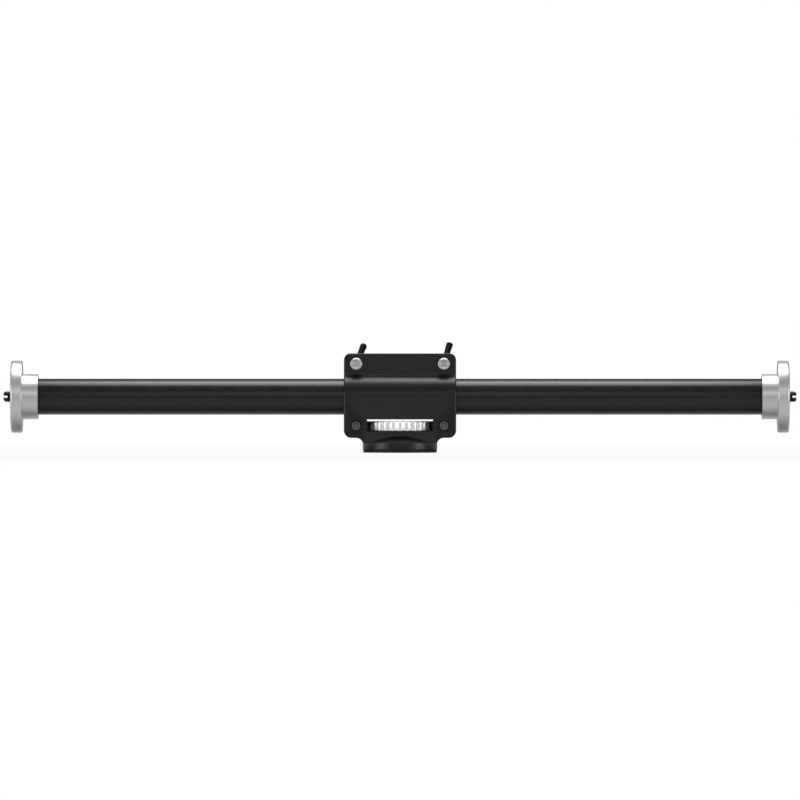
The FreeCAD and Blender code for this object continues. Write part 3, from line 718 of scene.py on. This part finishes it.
def turned_aluminium():
    return finish_of("turned_aluminium", aluminium, colours().aluminium, AXIS, roughness=0.26, metallic=1.0)


def wheel_aluminium():
    return finish_of("wheel_aluminium", aluminium, colours().wheel, (0, 0, 0), roughness=0.28,
                     metallic=0.35, upright=True)


# The edge colours of these steels are lighter than their bases: edge rubbing plus a painted edge highlight
def black_oxide():
    return finish_of("black_oxide", steel, colours().oxide, worn=(0.2, 0.2, 0.21), roughness=0.24)


def bright_steel():
    return finish_of("bright_steel", steel, colours().zinc, worn=(0.8, 0.8, 0.8), roughness=0.26)


def plated_steel():
    return finish_of("plated_steel", steel, colours().bolt, worn=(0.6, 0.6, 0.6), roughness=0.22)


def spring_steel():
    return finish_of("spring_steel", steel, colours().wire, worn=(0.6, 0.6, 0.6), roughness=0.3)


# Pieces

def gathered(name, pieces):
    """One object from several closed shells."""
    bm = bmesh.new()
    for piece in pieces:
        mesh = piece.data
        bm.from_mesh(mesh)
        bpy.data.objects.remove(piece)
        bpy.data.meshes.remove(mesh)
    return as_object(bm, name)


def carried(node, name):
    """The CAD shape of a node as a piece of its own, merged so that it shades smoothly."""
    bm = bmesh.new()
    bm.from_mesh(frame["nodes"][node].data)
    bmesh.ops.remove_doubles(bm, verts=bm.verts, dist=MERGE * 10)
    mesh = bpy.data.meshes.new(name)
    bm.to_mesh(mesh)
    bm.free()
    imported = mesh.attributes.get("custom_normal")
    if imported:
        mesh.attributes.remove(imported)
    piece = bpy.data.objects.new(name, mesh)
    bpy.context.scene.collection.objects.link(piece)
    modifier = piece.modifiers.new("weighted normals", "WEIGHTED_NORMAL")
    modifier.keep_sharp = True
    return piece


def tube_ring(name, inner, outer, length, start, direction, edge):
    """A straight ring or tube with eased edges."""
    profile = [(inner, 0), (outer, 0), (outer, length), (inner, length)]
    return turned(name, profile, start, direction, edge=edge, steps=160, closed=True)


def make_castings():
    for node in ("rear_body", "front_jaw"):
        finish(carried(node, node + "_casting"), "clamp", [node], black_coat(), sharp=40)


def make_foot_pad():
    """A rubber ring with rounded edges and grip grooves in its underside."""
    given = sizes()
    outer = spread("base_pad").x / 2
    thickness = spread("base_pad").z
    inner = given.pad_bore
    pitch = (outer - inner) / (given.pad_grooves + 1)
    mouth, floor, depth = pitch * 0.2, pitch * 0.1, thickness * 0.3
    profile = [(inner, 0), (inner, thickness), (outer, thickness), (outer, 0)]
    for groove in range(given.pad_grooves):
        centre = outer - pitch * (groove + 1)
        profile += [(centre + mouth, 0), (centre + floor, depth),
                    (centre - floor, depth), (centre - mouth, 0)]
    pad = turned("foot_pad", profile, Vector(), Z_AXIS, edge=pitch * 0.06, steps=144, closed=True)
    finish(pad, "clamp", ["base_pad"], black_rubber())


def make_liner():
    finish(carried("liner", "clamp_liner"), "bush", ["liner"], black_nylon())


def make_tube():
    wall = sizes().tube_wall
    tube = tube_ring("tube", TUBE_RADIUS - wall, TUBE_RADIUS, TUBE_HIGH.x - TUBE_LOW.x,
                     AXIS + X_AXIS * TUBE_LOW.x, X_AXIS, edge=wall * 0.2)
    finish(tube, "bar", ["bar_tube"], black_anodised())


def cap_profile():
    """The end cap's section: radius against distance from the collar's mouth."""
    given = sizes()
    length = CAP_HIGH.x - CAP_LOW.x
    flange_radius = (CAP_HIGH.z - CAP_LOW.z) / 2
    flange_start = length - given.flange_thickness
    seal_radius = spread("cap_seal_rings").z / 2 * SNUG_FIT
    seal_depth = seal_radius - TUBE_RADIUS
    mouth = (STUD_HIGH.z - STUD_LOW.z) / 2 * MOUTH_FIT
    thread = given.stud_core * THREAD_FIT
    bore = TUBE_RADIUS * SNUG_FIT
    tube_end = TUBE_HIGH.x - CAP_LOW.x
    easing = given.flange_chamfer
    inner_easing = easing * 0.4
    return [(bore, seal_depth), (seal_radius, seal_depth), (seal_radius, 0), (given.collar_radius, 0),
            (given.collar_radius, flange_start), (flange_radius - inner_easing, flange_start),
            (flange_radius, flange_start + inner_easing), (flange_radius, length - easing),
            (flange_radius - easing, length), (mouth, length), (thread, length - mouth + thread),
            (thread, tube_end), (bore, tube_end)]


def grub_line(node):
    """A grub screw's distance from the middle, and the distances of its two ends from the tube's axis."""
    low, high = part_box(node)
    radius = sizes().grub_radius
    along_slant = 1 / GRUB_DIRECTION.y
    return high.x - radius, low.y * along_slant + radius, high.y * along_slant - radius


def make_end_caps():
    """The two turned caps with their grub screw holes, and the seals at their mouths."""
    given = sizes()
    edge = given.edge_round
    for side, sign in SIDES:
        outward = X_AXIS * sign
        cap = turned(side + "_cap", cap_profile(), AXIS + outward * CAP_LOW.x, outward, edge=edge,
                     steps=160, closed=True)
        holes = []
        for node in ("cap_set_screws", "stud_lock_screws"):
            place_x, inner, outer = grub_line(node)
            start = AXIS + outward * place_x + GRUB_DIRECTION * (inner - edge)
            holes.append(prism("grub_hole", 40, given.grub_radius * LOOSE_FIT, CAP_HIGH.z, start,
                               GRUB_DIRECTION))
        cut(cap, *holes)
        finish(cap, "bar", [side + "_end_cap"], turned_aluminium(), sharp=28)
    low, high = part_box("cap_seal_rings")
    outer = (high.z - low.z) / 2
    section = outer - TUBE_RADIUS
    rings = [tube_ring("seal", TUBE_RADIUS, outer, section, AXIS + X_AXIS * sign * CAP_LOW.x, X_AXIS * sign,
                       section * 0.3) for _, sign in SIDES]
    finish(gathered("cap_seals", rings), "bar", ["cap_seal_rings"], black_rubber(), sharp=60)


def make_studs():
    """Threaded studs, each with a chamfered tip and a screwdriver slot."""
    given = sizes()
    radius = (STUD_HIGH.z - STUD_LOW.z) / 2
    shown = STUD_HIGH.x - CAP_HIGH.x
    hidden = STUD_HIGH.x - STUD_LOW.x - shown
    for side, sign in SIDES:
        outward = X_AXIS * sign
        bm = thread_bmesh(radius, given.stud_core, given.stud_pitch, 0, shown)
        for vert in bm.verts:
            reach = vert.co.xy.length
            limit = radius - given.stud_chamfer + shown - vert.co.z
            if reach > limit:
                vert.co.xy *= limit / reach
        aim(bm, AXIS + outward * CAP_HIGH.x, outward)
        thread = as_object(bm, "thread")
        slot_size = (given.stud_slot_depth * 2, radius * 4, given.stud_slot)
        cut(thread, slab("slot", AXIS + outward * STUD_HIGH.x, slot_size))
        core, edge = given.stud_core, given.edge_round
        profile = [(0, 0), (core - edge, 0), (core, edge), (core, hidden), (0, hidden)]
        shank = turned("shank", profile, AXIS + outward * STUD_LOW.x, outward)
        stud = gathered(side + "_threaded_stud", [thread, shank])
        finish(stud, "bar", [side + "_stud"], black_oxide(), sharp=30)


def socket_screw(shape, across_flats, depth, top, direction):
    """Cut a hexagon socket into a screw from its top, along direction."""
    start = top - direction * depth
    return cut(shape, prism("socket", 6, across_flats / ROOT_3, depth * 2, start, direction))


def cap_screw(head_radius, head_length, shank_radius, length, across_flats, top, direction, ribs):
    """A cap screw with a knurled head and a chamfered shank, from its top along direction."""
    given = sizes()
    edge = given.edge_round
    easing = given.head_chamfer
    bm = ribbed_bmesh(head_radius, given.knurl_depth, ribs, steps_per_rib=6, low=-edge, high=head_length,
                      flatness=0.7)
    aim(bm, top, direction)
    head = as_object(bm, "head")
    dish = across_flats / ROOT_3 * 0.92
    past = head_radius * 0.1
    blank_profile = [(0, easing), (dish, easing), (dish + easing, 0), (head_radius - easing, 0),
                     (head_radius + past, easing + past), (head_radius + past, head_length),
                     (0, head_length)]
    combine(head, [turned("blank", blank_profile, top, direction, steps=96)], "INTERSECT")
    socket_screw(head, across_flats, head_length * 0.5, top, direction)
    profile = [(0, head_length), (shank_radius, head_length), (shank_radius, length - edge),
               (shank_radius - edge, length), (0, length)]
    return gathered("screw", [head, turned("shank", profile, top, direction, steps=48)])


def screws_of(node, head_length, shank_radius, across_flats, ribs):
    """The pair of cap screws that a node holds, facing the front."""
    low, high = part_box(node)
    head_radius = (high.z - low.z) / 2
    tops = [Vector((sign * (high.x - head_radius), low.y, (low.z + high.z) / 2)) for _, sign in SIDES]
    return [cap_screw(head_radius, head_length, shank_radius, high.y - low.y, across_flats, top, Y_AXIS,
                      ribs) for top in tops]


def grub_screws(node):
    """The pair of headless socket screws that a node holds."""
    given = sizes()
    place_x, inner, outer = grub_line(node)
    radius, edge, length = given.grub_radius, given.edge_round, outer - inner
    profile = [(0, 0), (radius - edge, 0), (radius, edge), (radius, length - edge), (radius - edge, length),
               (0, length)]
    made = []
    for _, sign in SIDES:
        top = AXIS + X_AXIS * sign * place_x + GRUB_DIRECTION * outer
        screw = turned("grub", profile, top, -GRUB_DIRECTION, steps=48)
        made.append(socket_screw(screw, given.grub_hex, radius * 0.75, top, -GRUB_DIRECTION))
    return made


def make_fasteners():
    """The socket screws, the levers' washers and the grub screws."""
    given = sizes()
    bolts = screws_of("clamp_bolts", given.bolt_head, given.bolt_radius, given.bolt_hex, ribs=36)
    finish(gathered("clamp_cap_screws", bolts), "clamp", ["clamp_bolts"], bright_steel())
    screws = screws_of("jaw_screws", given.jaw_screw_head, given.jaw_screw_radius, given.jaw_screw_hex,
                       ribs=32)
    finish(gathered("jaw_cap_screws", screws), "clamp", ["jaw_screws"], plated_steel())
    low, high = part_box("lever_washers")
    outer = (high.z - low.z) / 2
    washers = [tube_ring("washer", given.bolt_radius * 1.1, outer, high.y - low.y,
                         Vector((sign * (high.x - outer), low.y, (low.z + high.z) / 2)), Y_AXIS,
                         given.edge_round * 0.7) for _, sign in SIDES]
    finish(gathered("bolt_washers", washers), "clamp", ["lever_washers"], bright_steel())
    for node in ("cap_set_screws", "stud_lock_screws"):
        finish(gathered(node + "_socketed", grub_screws(node)), "bar", [node], black_oxide())


def make_wheel():
    """The lobed lock wheel on its threaded bush, over a thrust washer."""
    given = sizes()
    low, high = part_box("lock_wheel")
    bush_low, bush_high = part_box("wheel_bush")
    washer_low, washer_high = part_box("wheel_washer")
    bush_radius = (bush_high.x - bush_low.x) / 2
    washer_radius = (washer_high.x - washer_low.x) / 2
    bm = ribbed_bmesh(given.wheel_radius, given.wheel_flute, given.wheel_lobes, steps_per_rib=14, low=low.z,
                      high=high.z, flatness=given.wheel_lobe_shape)
    rims = [edge for edge in bm.edges if edge.calc_face_angle(0) > math.radians(60)
            and abs(edge.verts[0].co.z - edge.verts[1].co.z) < MERGE]
    bmesh.ops.bevel(bm, geom=rims, offset=given.wheel_round, affect="EDGES", segments=5, profile=0.5,
                    material=-1)
    wheel = as_object(bm, "lobed_wheel")
    recess = (washer_high.z - low.z) * 1.2
    cut(wheel,
        prism("bore", 96, bush_radius * BUSH_FIT, high.z * 2, Vector(), Z_AXIS),
        prism("recess", 128, washer_radius * LOOSE_FIT, recess * 2, Vector((0, 0, low.z - recess)), Z_AXIS))
    finish(wheel, "wheel", ["lock_wheel"], wheel_aluminium(), sharp=40)

    pitch, core = given.stud_pitch, given.stud_core
    grooves = int((bush_high.z - bush_low.z) / pitch)
    first = bush_low.z + (bush_high.z - bush_low.z - grooves * pitch) / 2
    thread = [(core, bush_low.z)]
    for groove in range(grooves):
        thread += [(core, first + pitch * (groove + 0.1)),
                   (core + pitch / 2, first + pitch * (groove + 0.5)),
                   (core, first + pitch * (groove + 0.9))]
    thread += [(core, bush_high.z), (bush_radius, bush_high.z), (bush_radius, bush_low.z)]
    bush = turned("threaded_bush", thread, Vector(), Z_AXIS, steps=72, closed=True)
    finish(bush, "wheel", ["wheel_bush"], bright_steel(), sharp=25)

    washer = tube_ring("thrust_washer", bush_radius * WASHER_FIT, washer_radius,
                       washer_high.z - washer_low.z, Vector((0, 0, washer_low.z)), Z_AXIS,
                       given.edge_round * 0.5)
    finish(washer, "clamp", ["wheel_washer"], black_nylon())


def coil(name, radius, wire, low, high, centre_x, centre_z):
    """A compression spring along Y: an end turn closed up at each end and open turns between."""
    given = sizes()
    steps = 40
    bm = bmesh.new()
    end_turns = given.spring_end_turns
    end_rise = wire * 1.03 * end_turns
    open_turns = given.spring_open_turns
    open_rise = high - low - wire - 2 * end_rise
    upright = Matrix.Translation((radius, 0, 0)) @ Matrix.Rotation(math.pi / 2, 4, "X")
    bmesh.ops.create_circle(bm, cap_ends=True, segments=14, radius=wire / 2, matrix=upright)
    lead = bm.verts[:] + bm.edges[:] + bm.faces[:]
    for turns, rise in ((end_turns, end_rise), (open_turns, open_rise), (end_turns, end_rise)):
        count = round(steps * turns)
        grown = bmesh.ops.spin(bm, geom=lead, cent=(0, 0, 0), axis=Z_AXIS, dvec=(0, 0, rise / count),
                               angle=FULL_TURN * turns, steps=count, use_merge=False, use_duplicate=False)
        lead = grown["geom_last"]
    aim(bm, Vector((centre_x, low + wire / 2, centre_z)), Y_AXIS)
    return as_object(bm, name)


def lever_grip(name, centre, lean, hub_low, tip_round):
    """The handle: a round hub with an arm that rises from it, blended where they meet."""
    given = sizes()
    hub_radius = given.hub_radius
    length = given.hub_length
    outward = Vector((math.sin(lean), 0, math.cos(lean)))
    hub_start = Vector((centre.x, hub_low, centre.z))
    hub_profile = [(0, 0), (hub_radius * 0.93, 0), (hub_radius, length * 0.12), (hub_radius, length),
                   (0, length)]
    hub = turned("hub", hub_profile, hub_start, Y_AXIS, edge=given.hub_round, steps=96)
    root, tip = given.arm_root, given.arm_tip
    start = hub_start + Y_AXIS * (length - root * 2) + outward * root * 1.2
    end = hub_start + Y_AXIS * (length - root * 2 + given.arm_rise) + outward * given.arm_reach
    along = end - start
    reach = along.length
    shoulder = tip_round * 0.29
    arm_profile = [(0, 0), (root, 0), (root * 0.97, reach * 0.45), (tip, reach - tip_round),
                   (tip - shoulder, reach - shoulder), (tip - tip_round, reach), (0, reach)]
    arm = turned("arm", arm_profile, start, along.normalized(), steps=64)
    grip = join(hub, arm)
    grip.name = name
    remesh = grip.modifiers.new("even mesh", "REMESH")
    remesh.mode = "VOXEL"
    remesh.voxel_size = given.lever_grid
    smooth = grip.modifiers.new("blend", "SMOOTH")
    smooth.factor = 0.5
    smooth.iterations = 10
    return apply_modifiers(grip)


def make_levers():
    """Each lever's handle, toothed insert, slotted screw and spring; the spring is built in one shape here,
    though on the lever it closes when the handle lifts.
    """
    given = sizes()
    for side, sign in SIDES:
        joint = LEVER_PIVOT[side + "_lever_turn"]
        centre = Vector((joint.x, 0, joint.z))
        insert_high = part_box(side + "_lever_insert")[1]
        grip_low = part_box(side + "_lever_handle")[0]
        screw_low, screw_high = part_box(side + "_lever_screw")
        spring_low, spring_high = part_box(side + "_lever_spring")
        lean = math.radians(given.left_lean if sign < 0 else given.right_lean)
        tip_round = given.left_tip_round if sign < 0 else given.right_tip_round
        neck_radius = given.insert_neck * 1.09
        grip = lever_grip(side + "_grip", centre, lean, grip_low.y, tip_round)
        at_low = Vector((centre.x, grip_low.y - given.edge_round, centre.z))
        teeth_end = given.teeth_length + given.edge_round
        at_spring = Vector((centre.x, spring_low.y, centre.z))
        cut(grip,
            prism("tooth_space", 64, given.teeth_radius, teeth_end, at_low, Y_AXIS),
            prism("neck_hole", 64, neck_radius, given.hub_length, at_low, Y_AXIS),
            prism("chamber", 96, given.chamber_radius, given.hub_length * 2, at_spring, Y_AXIS))
        finish(grip, side + "_lever", [side + "_lever_handle"], black_lever(), sharp=42)

        insert = carried(side + "_lever_insert", side + "_toothed_insert")
        finish(insert, side + "_lever_hub", [side + "_lever_insert"], bright_steel())

        head_radius = (screw_high.z - screw_low.z) / 2
        head_low = insert_high.y
        edge = given.edge_round
        shank = given.lever_screw_radius
        profile = [(0, screw_low.y), (shank, screw_low.y), (shank, head_low), (head_radius, head_low),
                   (head_radius, screw_high.y - edge), (head_radius - edge, screw_high.y),
                   (0, screw_high.y)]
        screw = turned(side + "_slotted_screw", profile, centre, Y_AXIS, edge=edge * 0.4, steps=72)
        slot_depth = given.lever_screw_slot
        cut(screw, slab("slot", Vector((centre.x, screw_high.y, centre.z)),
                        (head_radius * 4, slot_depth * 2, slot_depth)))
        finish(screw, side + "_lever_hub", [side + "_lever_screw"], bright_steel())

        wire = given.spring_wire
        coil_radius = (spring_high.z - spring_low.z - wire) / 2
        spring = coil(side + "_coil_spring", coil_radius, wire, spring_low.y, spring_high.y,
                      centre.x, centre.z)
        finish(spring, side + "_lever_hub", [side + "_lever_spring"], spring_steel(),
               sharp=60)
        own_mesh(spring)


# Stage

def lamp(name, size_x, size_y, power, location, target):
    """A rectangular soft lamp that faces a target."""
    light = bpy.data.lights.new(name, "AREA")
    light.shape = "RECTANGLE"
    light.size = size_x
    light.size_y = size_y
    light.energy = power
    holder = bpy.data.objects.new(name, light)
    bpy.context.scene.collection.objects.link(holder)
    holder.location = location
    holder.rotation_euler = (Vector(target) - Vector(location)).to_track_quat("-Z", "Y").to_euler()


def make_lamps():
    """A wide overhead lamp a little behind the clamp, a soft one in front and one at each side."""
    given = stage_settings()
    lamp("overhead", given.overhead_length, given.overhead_depth, given.overhead_power,
         (0, given.overhead_back, given.overhead_height), (0, given.overhead_back, 0))
    lamp("front", given.front_length, given.front_depth, given.front_power,
         (0, -given.front_distance, given.front_height), (0, 0, given.aim_height))
    for side, sign in SIDES:
        lamp(side + "_wing", given.wing_length, given.wing_depth, given.wing_power,
             (sign * given.wing_side, -given.wing_distance, given.wing_height), (0, 0, given.aim_height))


def shown_white(tree):
    """1 for what the camera sees directly, a share of it in gloss or through glass, and 0 for light."""
    path = tree.nodes.new("ShaderNodeLightPath").outputs
    indirect = math_node(tree, "MAXIMUM", path["Is Glossy Ray"], path["Is Transmission Ray"])
    mirrored = math_node(tree, "MULTIPLY", indirect, stage_settings().mirrored_white)
    return math_node(tree, "MAXIMUM", path["Is Camera Ray"], mirrored)


def make_floor():
    """A pale floor that shows white, keeps the object's shadow and is clear from below."""
    given = stage_settings()
    bm = bmesh.new()
    bmesh.ops.create_circle(bm, cap_ends=True, segments=96, radius=given.floor_radius,
                            matrix=Matrix.Translation((0, 0, -given.floor_drop)))
    floor = as_object(bm, "floor")
    material = bpy.data.materials.new("pale_floor")
    material.use_nodes = True
    tree = material.node_tree
    tree.nodes.clear()
    matt = place(tree, "ShaderNodeBsdfDiffuse", {}, {"Color": opaque(given.floor_colour)})
    white = place(tree, "ShaderNodeEmission", {}, {"Color": (1.0, 1.0, 1.0, 1.0), "Strength": 1.0})
    coordinates = tree.nodes.new("ShaderNodeTexCoord").outputs["Object"]
    glow_from, glow_to = given.floor_radius * 0.12, given.floor_radius * 0.3
    distance = place(tree, "ShaderNodeVectorMath", {"operation": "LENGTH"}, {0: coordinates})
    outside = stepped(tree, distance.outputs["Value"], glow_from, glow_to)
    glow = place(tree, "ShaderNodeMapRange", {}, {0: outside, 3: given.floor_glow, 4: 1.0})
    share = math_node(tree, "MULTIPLY", shown_white(tree), glow.outputs[0])
    both = place(tree, "ShaderNodeMixShader", {}, {0: share, 1: matt.outputs[0], 2: white.outputs[0]})
    clear = tree.nodes.new("ShaderNodeBsdfTransparent")
    underside = tree.nodes.new("ShaderNodeNewGeometry").outputs["Backfacing"]
    top_only = place(tree, "ShaderNodeMixShader", {},
                     {0: underside, 1: both.outputs[0], 2: clear.outputs[0]})
    end = tree.nodes.new("ShaderNodeOutputMaterial")
    tree.links.new(top_only.outputs[0], end.inputs[0])
    floor.data.materials.append(material)


def make_world():
    """A moderate grey all round, which shows white."""
    given = stage_settings()
    world = bpy.data.worlds.new("studio")
    world.use_nodes = True
    tree = world.node_tree
    tree.nodes.clear()
    grey = opaque([given.surround] * 3)
    colour = mixed(tree, shown_white(tree), grey, (1.0, 1.0, 1.0, 1.0))
    sky = place(tree, "ShaderNodeBackground", {}, {"Color": colour, "Strength": 1.0})
    end = tree.nodes.new("ShaderNodeOutputWorld")
    tree.links.new(sky.outputs[0], end.inputs[0])
    bpy.context.scene.world = world


def make_camera():
    given = stage_settings()
    data = bpy.data.cameras.new("view")
    data.sensor_width = 36.0
    data.lens = data.sensor_width * given.camera_distance / given.framed_width
    data.clip_start = 0.1
    data.clip_end = 100.0
    camera = bpy.data.objects.new("view", data)
    bpy.context.scene.collection.objects.link(camera)
    camera.location = (0, -given.camera_distance, given.camera_height)
    target = Vector((0, 0, given.aim_height))
    camera.rotation_euler = (target - camera.location).to_track_quat("-Z", "Y").to_euler()
    bpy.context.scene.camera = camera


# Operators

def built(*builders):
    """Run the builders in turn and report that the operator is done."""
    for build in builders:
        build()
    return {"FINISHED"}


class CROSSBAR_OT_castings(bpy.types.Operator):
    """Finish the clamp's two castings"""
    bl_idname = "cross_bar.castings"
    bl_label = "Castings"
    bl_options = {"REGISTER", "UNDO"}

    def execute(self, context):
        return built(make_castings)


class CROSSBAR_OT_foot_pad(bpy.types.Operator):
    """Model the rubber ring under the foot"""
    bl_idname = "cross_bar.foot_pad"
    bl_label = "Foot pad"
    bl_options = {"REGISTER", "UNDO"}

    def execute(self, context):
        return built(make_foot_pad)


class CROSSBAR_OT_tube(bpy.types.Operator):
    """Model the tube and finish the liner that it slides in"""
    bl_idname = "cross_bar.tube"
    bl_label = "Tube and liner"
    bl_options = {"REGISTER", "UNDO"}

    def execute(self, context):
        return built(make_tube, make_liner)


class CROSSBAR_OT_end_caps(bpy.types.Operator):
    """Turn the end caps and their seals"""
    bl_idname = "cross_bar.end_caps"
    bl_label = "End caps"
    bl_options = {"REGISTER", "UNDO"}

    def execute(self, context):
        return built(make_end_caps)


class CROSSBAR_OT_studs(bpy.types.Operator):
    """Cut the studs' threads and slots"""
    bl_idname = "cross_bar.studs"
    bl_label = "Studs"
    bl_options = {"REGISTER", "UNDO"}

    def execute(self, context):
        return built(make_studs)


class CROSSBAR_OT_fasteners(bpy.types.Operator):
    """Model the socket screws and washers"""
    bl_idname = "cross_bar.fasteners"
    bl_label = "Fasteners"
    bl_options = {"REGISTER", "UNDO"}

    def execute(self, context):
        return built(make_fasteners)


class CROSSBAR_OT_wheel(bpy.types.Operator):
    """Model the lobed lock wheel, its bush and its washer"""
    bl_idname = "cross_bar.wheel"
    bl_label = "Lock wheel"
    bl_options = {"REGISTER", "UNDO"}

    def execute(self, context):
        return built(make_wheel)


class CROSSBAR_OT_levers(bpy.types.Operator):
    """Model the two clamping levers with their inserts and springs"""
    bl_idname = "cross_bar.levers"
    bl_label = "Levers"
    bl_options = {"REGISTER", "UNDO"}

    def execute(self, context):
        return built(make_levers)


class CROSSBAR_OT_stage(bpy.types.Operator):
    """Set up the floor, the lamps, the surroundings and the camera"""
    bl_idname = "cross_bar.stage"
    bl_label = "Stage"
    bl_options = {"REGISTER", "UNDO"}

    def execute(self, context):
        return built(make_floor, make_lamps, make_world, make_camera)


OPERATORS = (CROSSBAR_OT_stage, CROSSBAR_OT_castings, CROSSBAR_OT_foot_pad, CROSSBAR_OT_tube,
             CROSSBAR_OT_end_caps, CROSSBAR_OT_studs, CROSSBAR_OT_fasteners, CROSSBAR_OT_wheel,
             CROSSBAR_OT_levers)


class CROSSBAR_PT_panel(bpy.types.Panel):
    """Lists the steps of the cross bar"""
    bl_idname = "CROSSBAR_PT_panel"
    bl_label = "Cross Bar"
    bl_space_type = "VIEW_3D"
    bl_region_type = "UI"
    bl_category = "Cross Bar"

    def draw(self, context):
        for operator in OPERATORS:
            self.layout.operator(operator.bl_idname)
        for settings in (sizes(), colours(), stage_settings()):
            box = self.layout.box()
            for name in settings.__annotations__:
                box.prop(settings, name)


CLASSES = (CrossBarSizes, CrossBarColours, CrossBarStage, *OPERATORS, CROSSBAR_PT_panel)


def register():
    for item in CLASSES:
        bpy.utils.register_class(item)
    bpy.types.Scene.cross_bar_sizes = bpy.props.PointerProperty(type=CrossBarSizes)
    bpy.types.Scene.cross_bar_colours = bpy.props.PointerProperty(type=CrossBarColours)
    bpy.types.Scene.cross_bar_stage = bpy.props.PointerProperty(type=CrossBarStage)


def unregister():
    del bpy.types.Scene.cross_bar_stage
    del bpy.types.Scene.cross_bar_colours
    del bpy.types.Scene.cross_bar_sizes
    for item in reversed(CLASSES):
        bpy.utils.unregister_class(item)


def main():
    register()
    bpy.context.scene.view_settings.view_transform = "Standard"
    bpy.ops.cross_bar.stage()
    bpy.ops.cross_bar.castings()
    bpy.ops.cross_bar.foot_pad()
    bpy.ops.cross_bar.tube()
    bpy.ops.cross_bar.end_caps()
    bpy.ops.cross_bar.studs()
    bpy.ops.cross_bar.fasteners()
    bpy.ops.cross_bar.wheel()
    bpy.ops.cross_bar.levers()


if __name__ == "__main__":
    main()
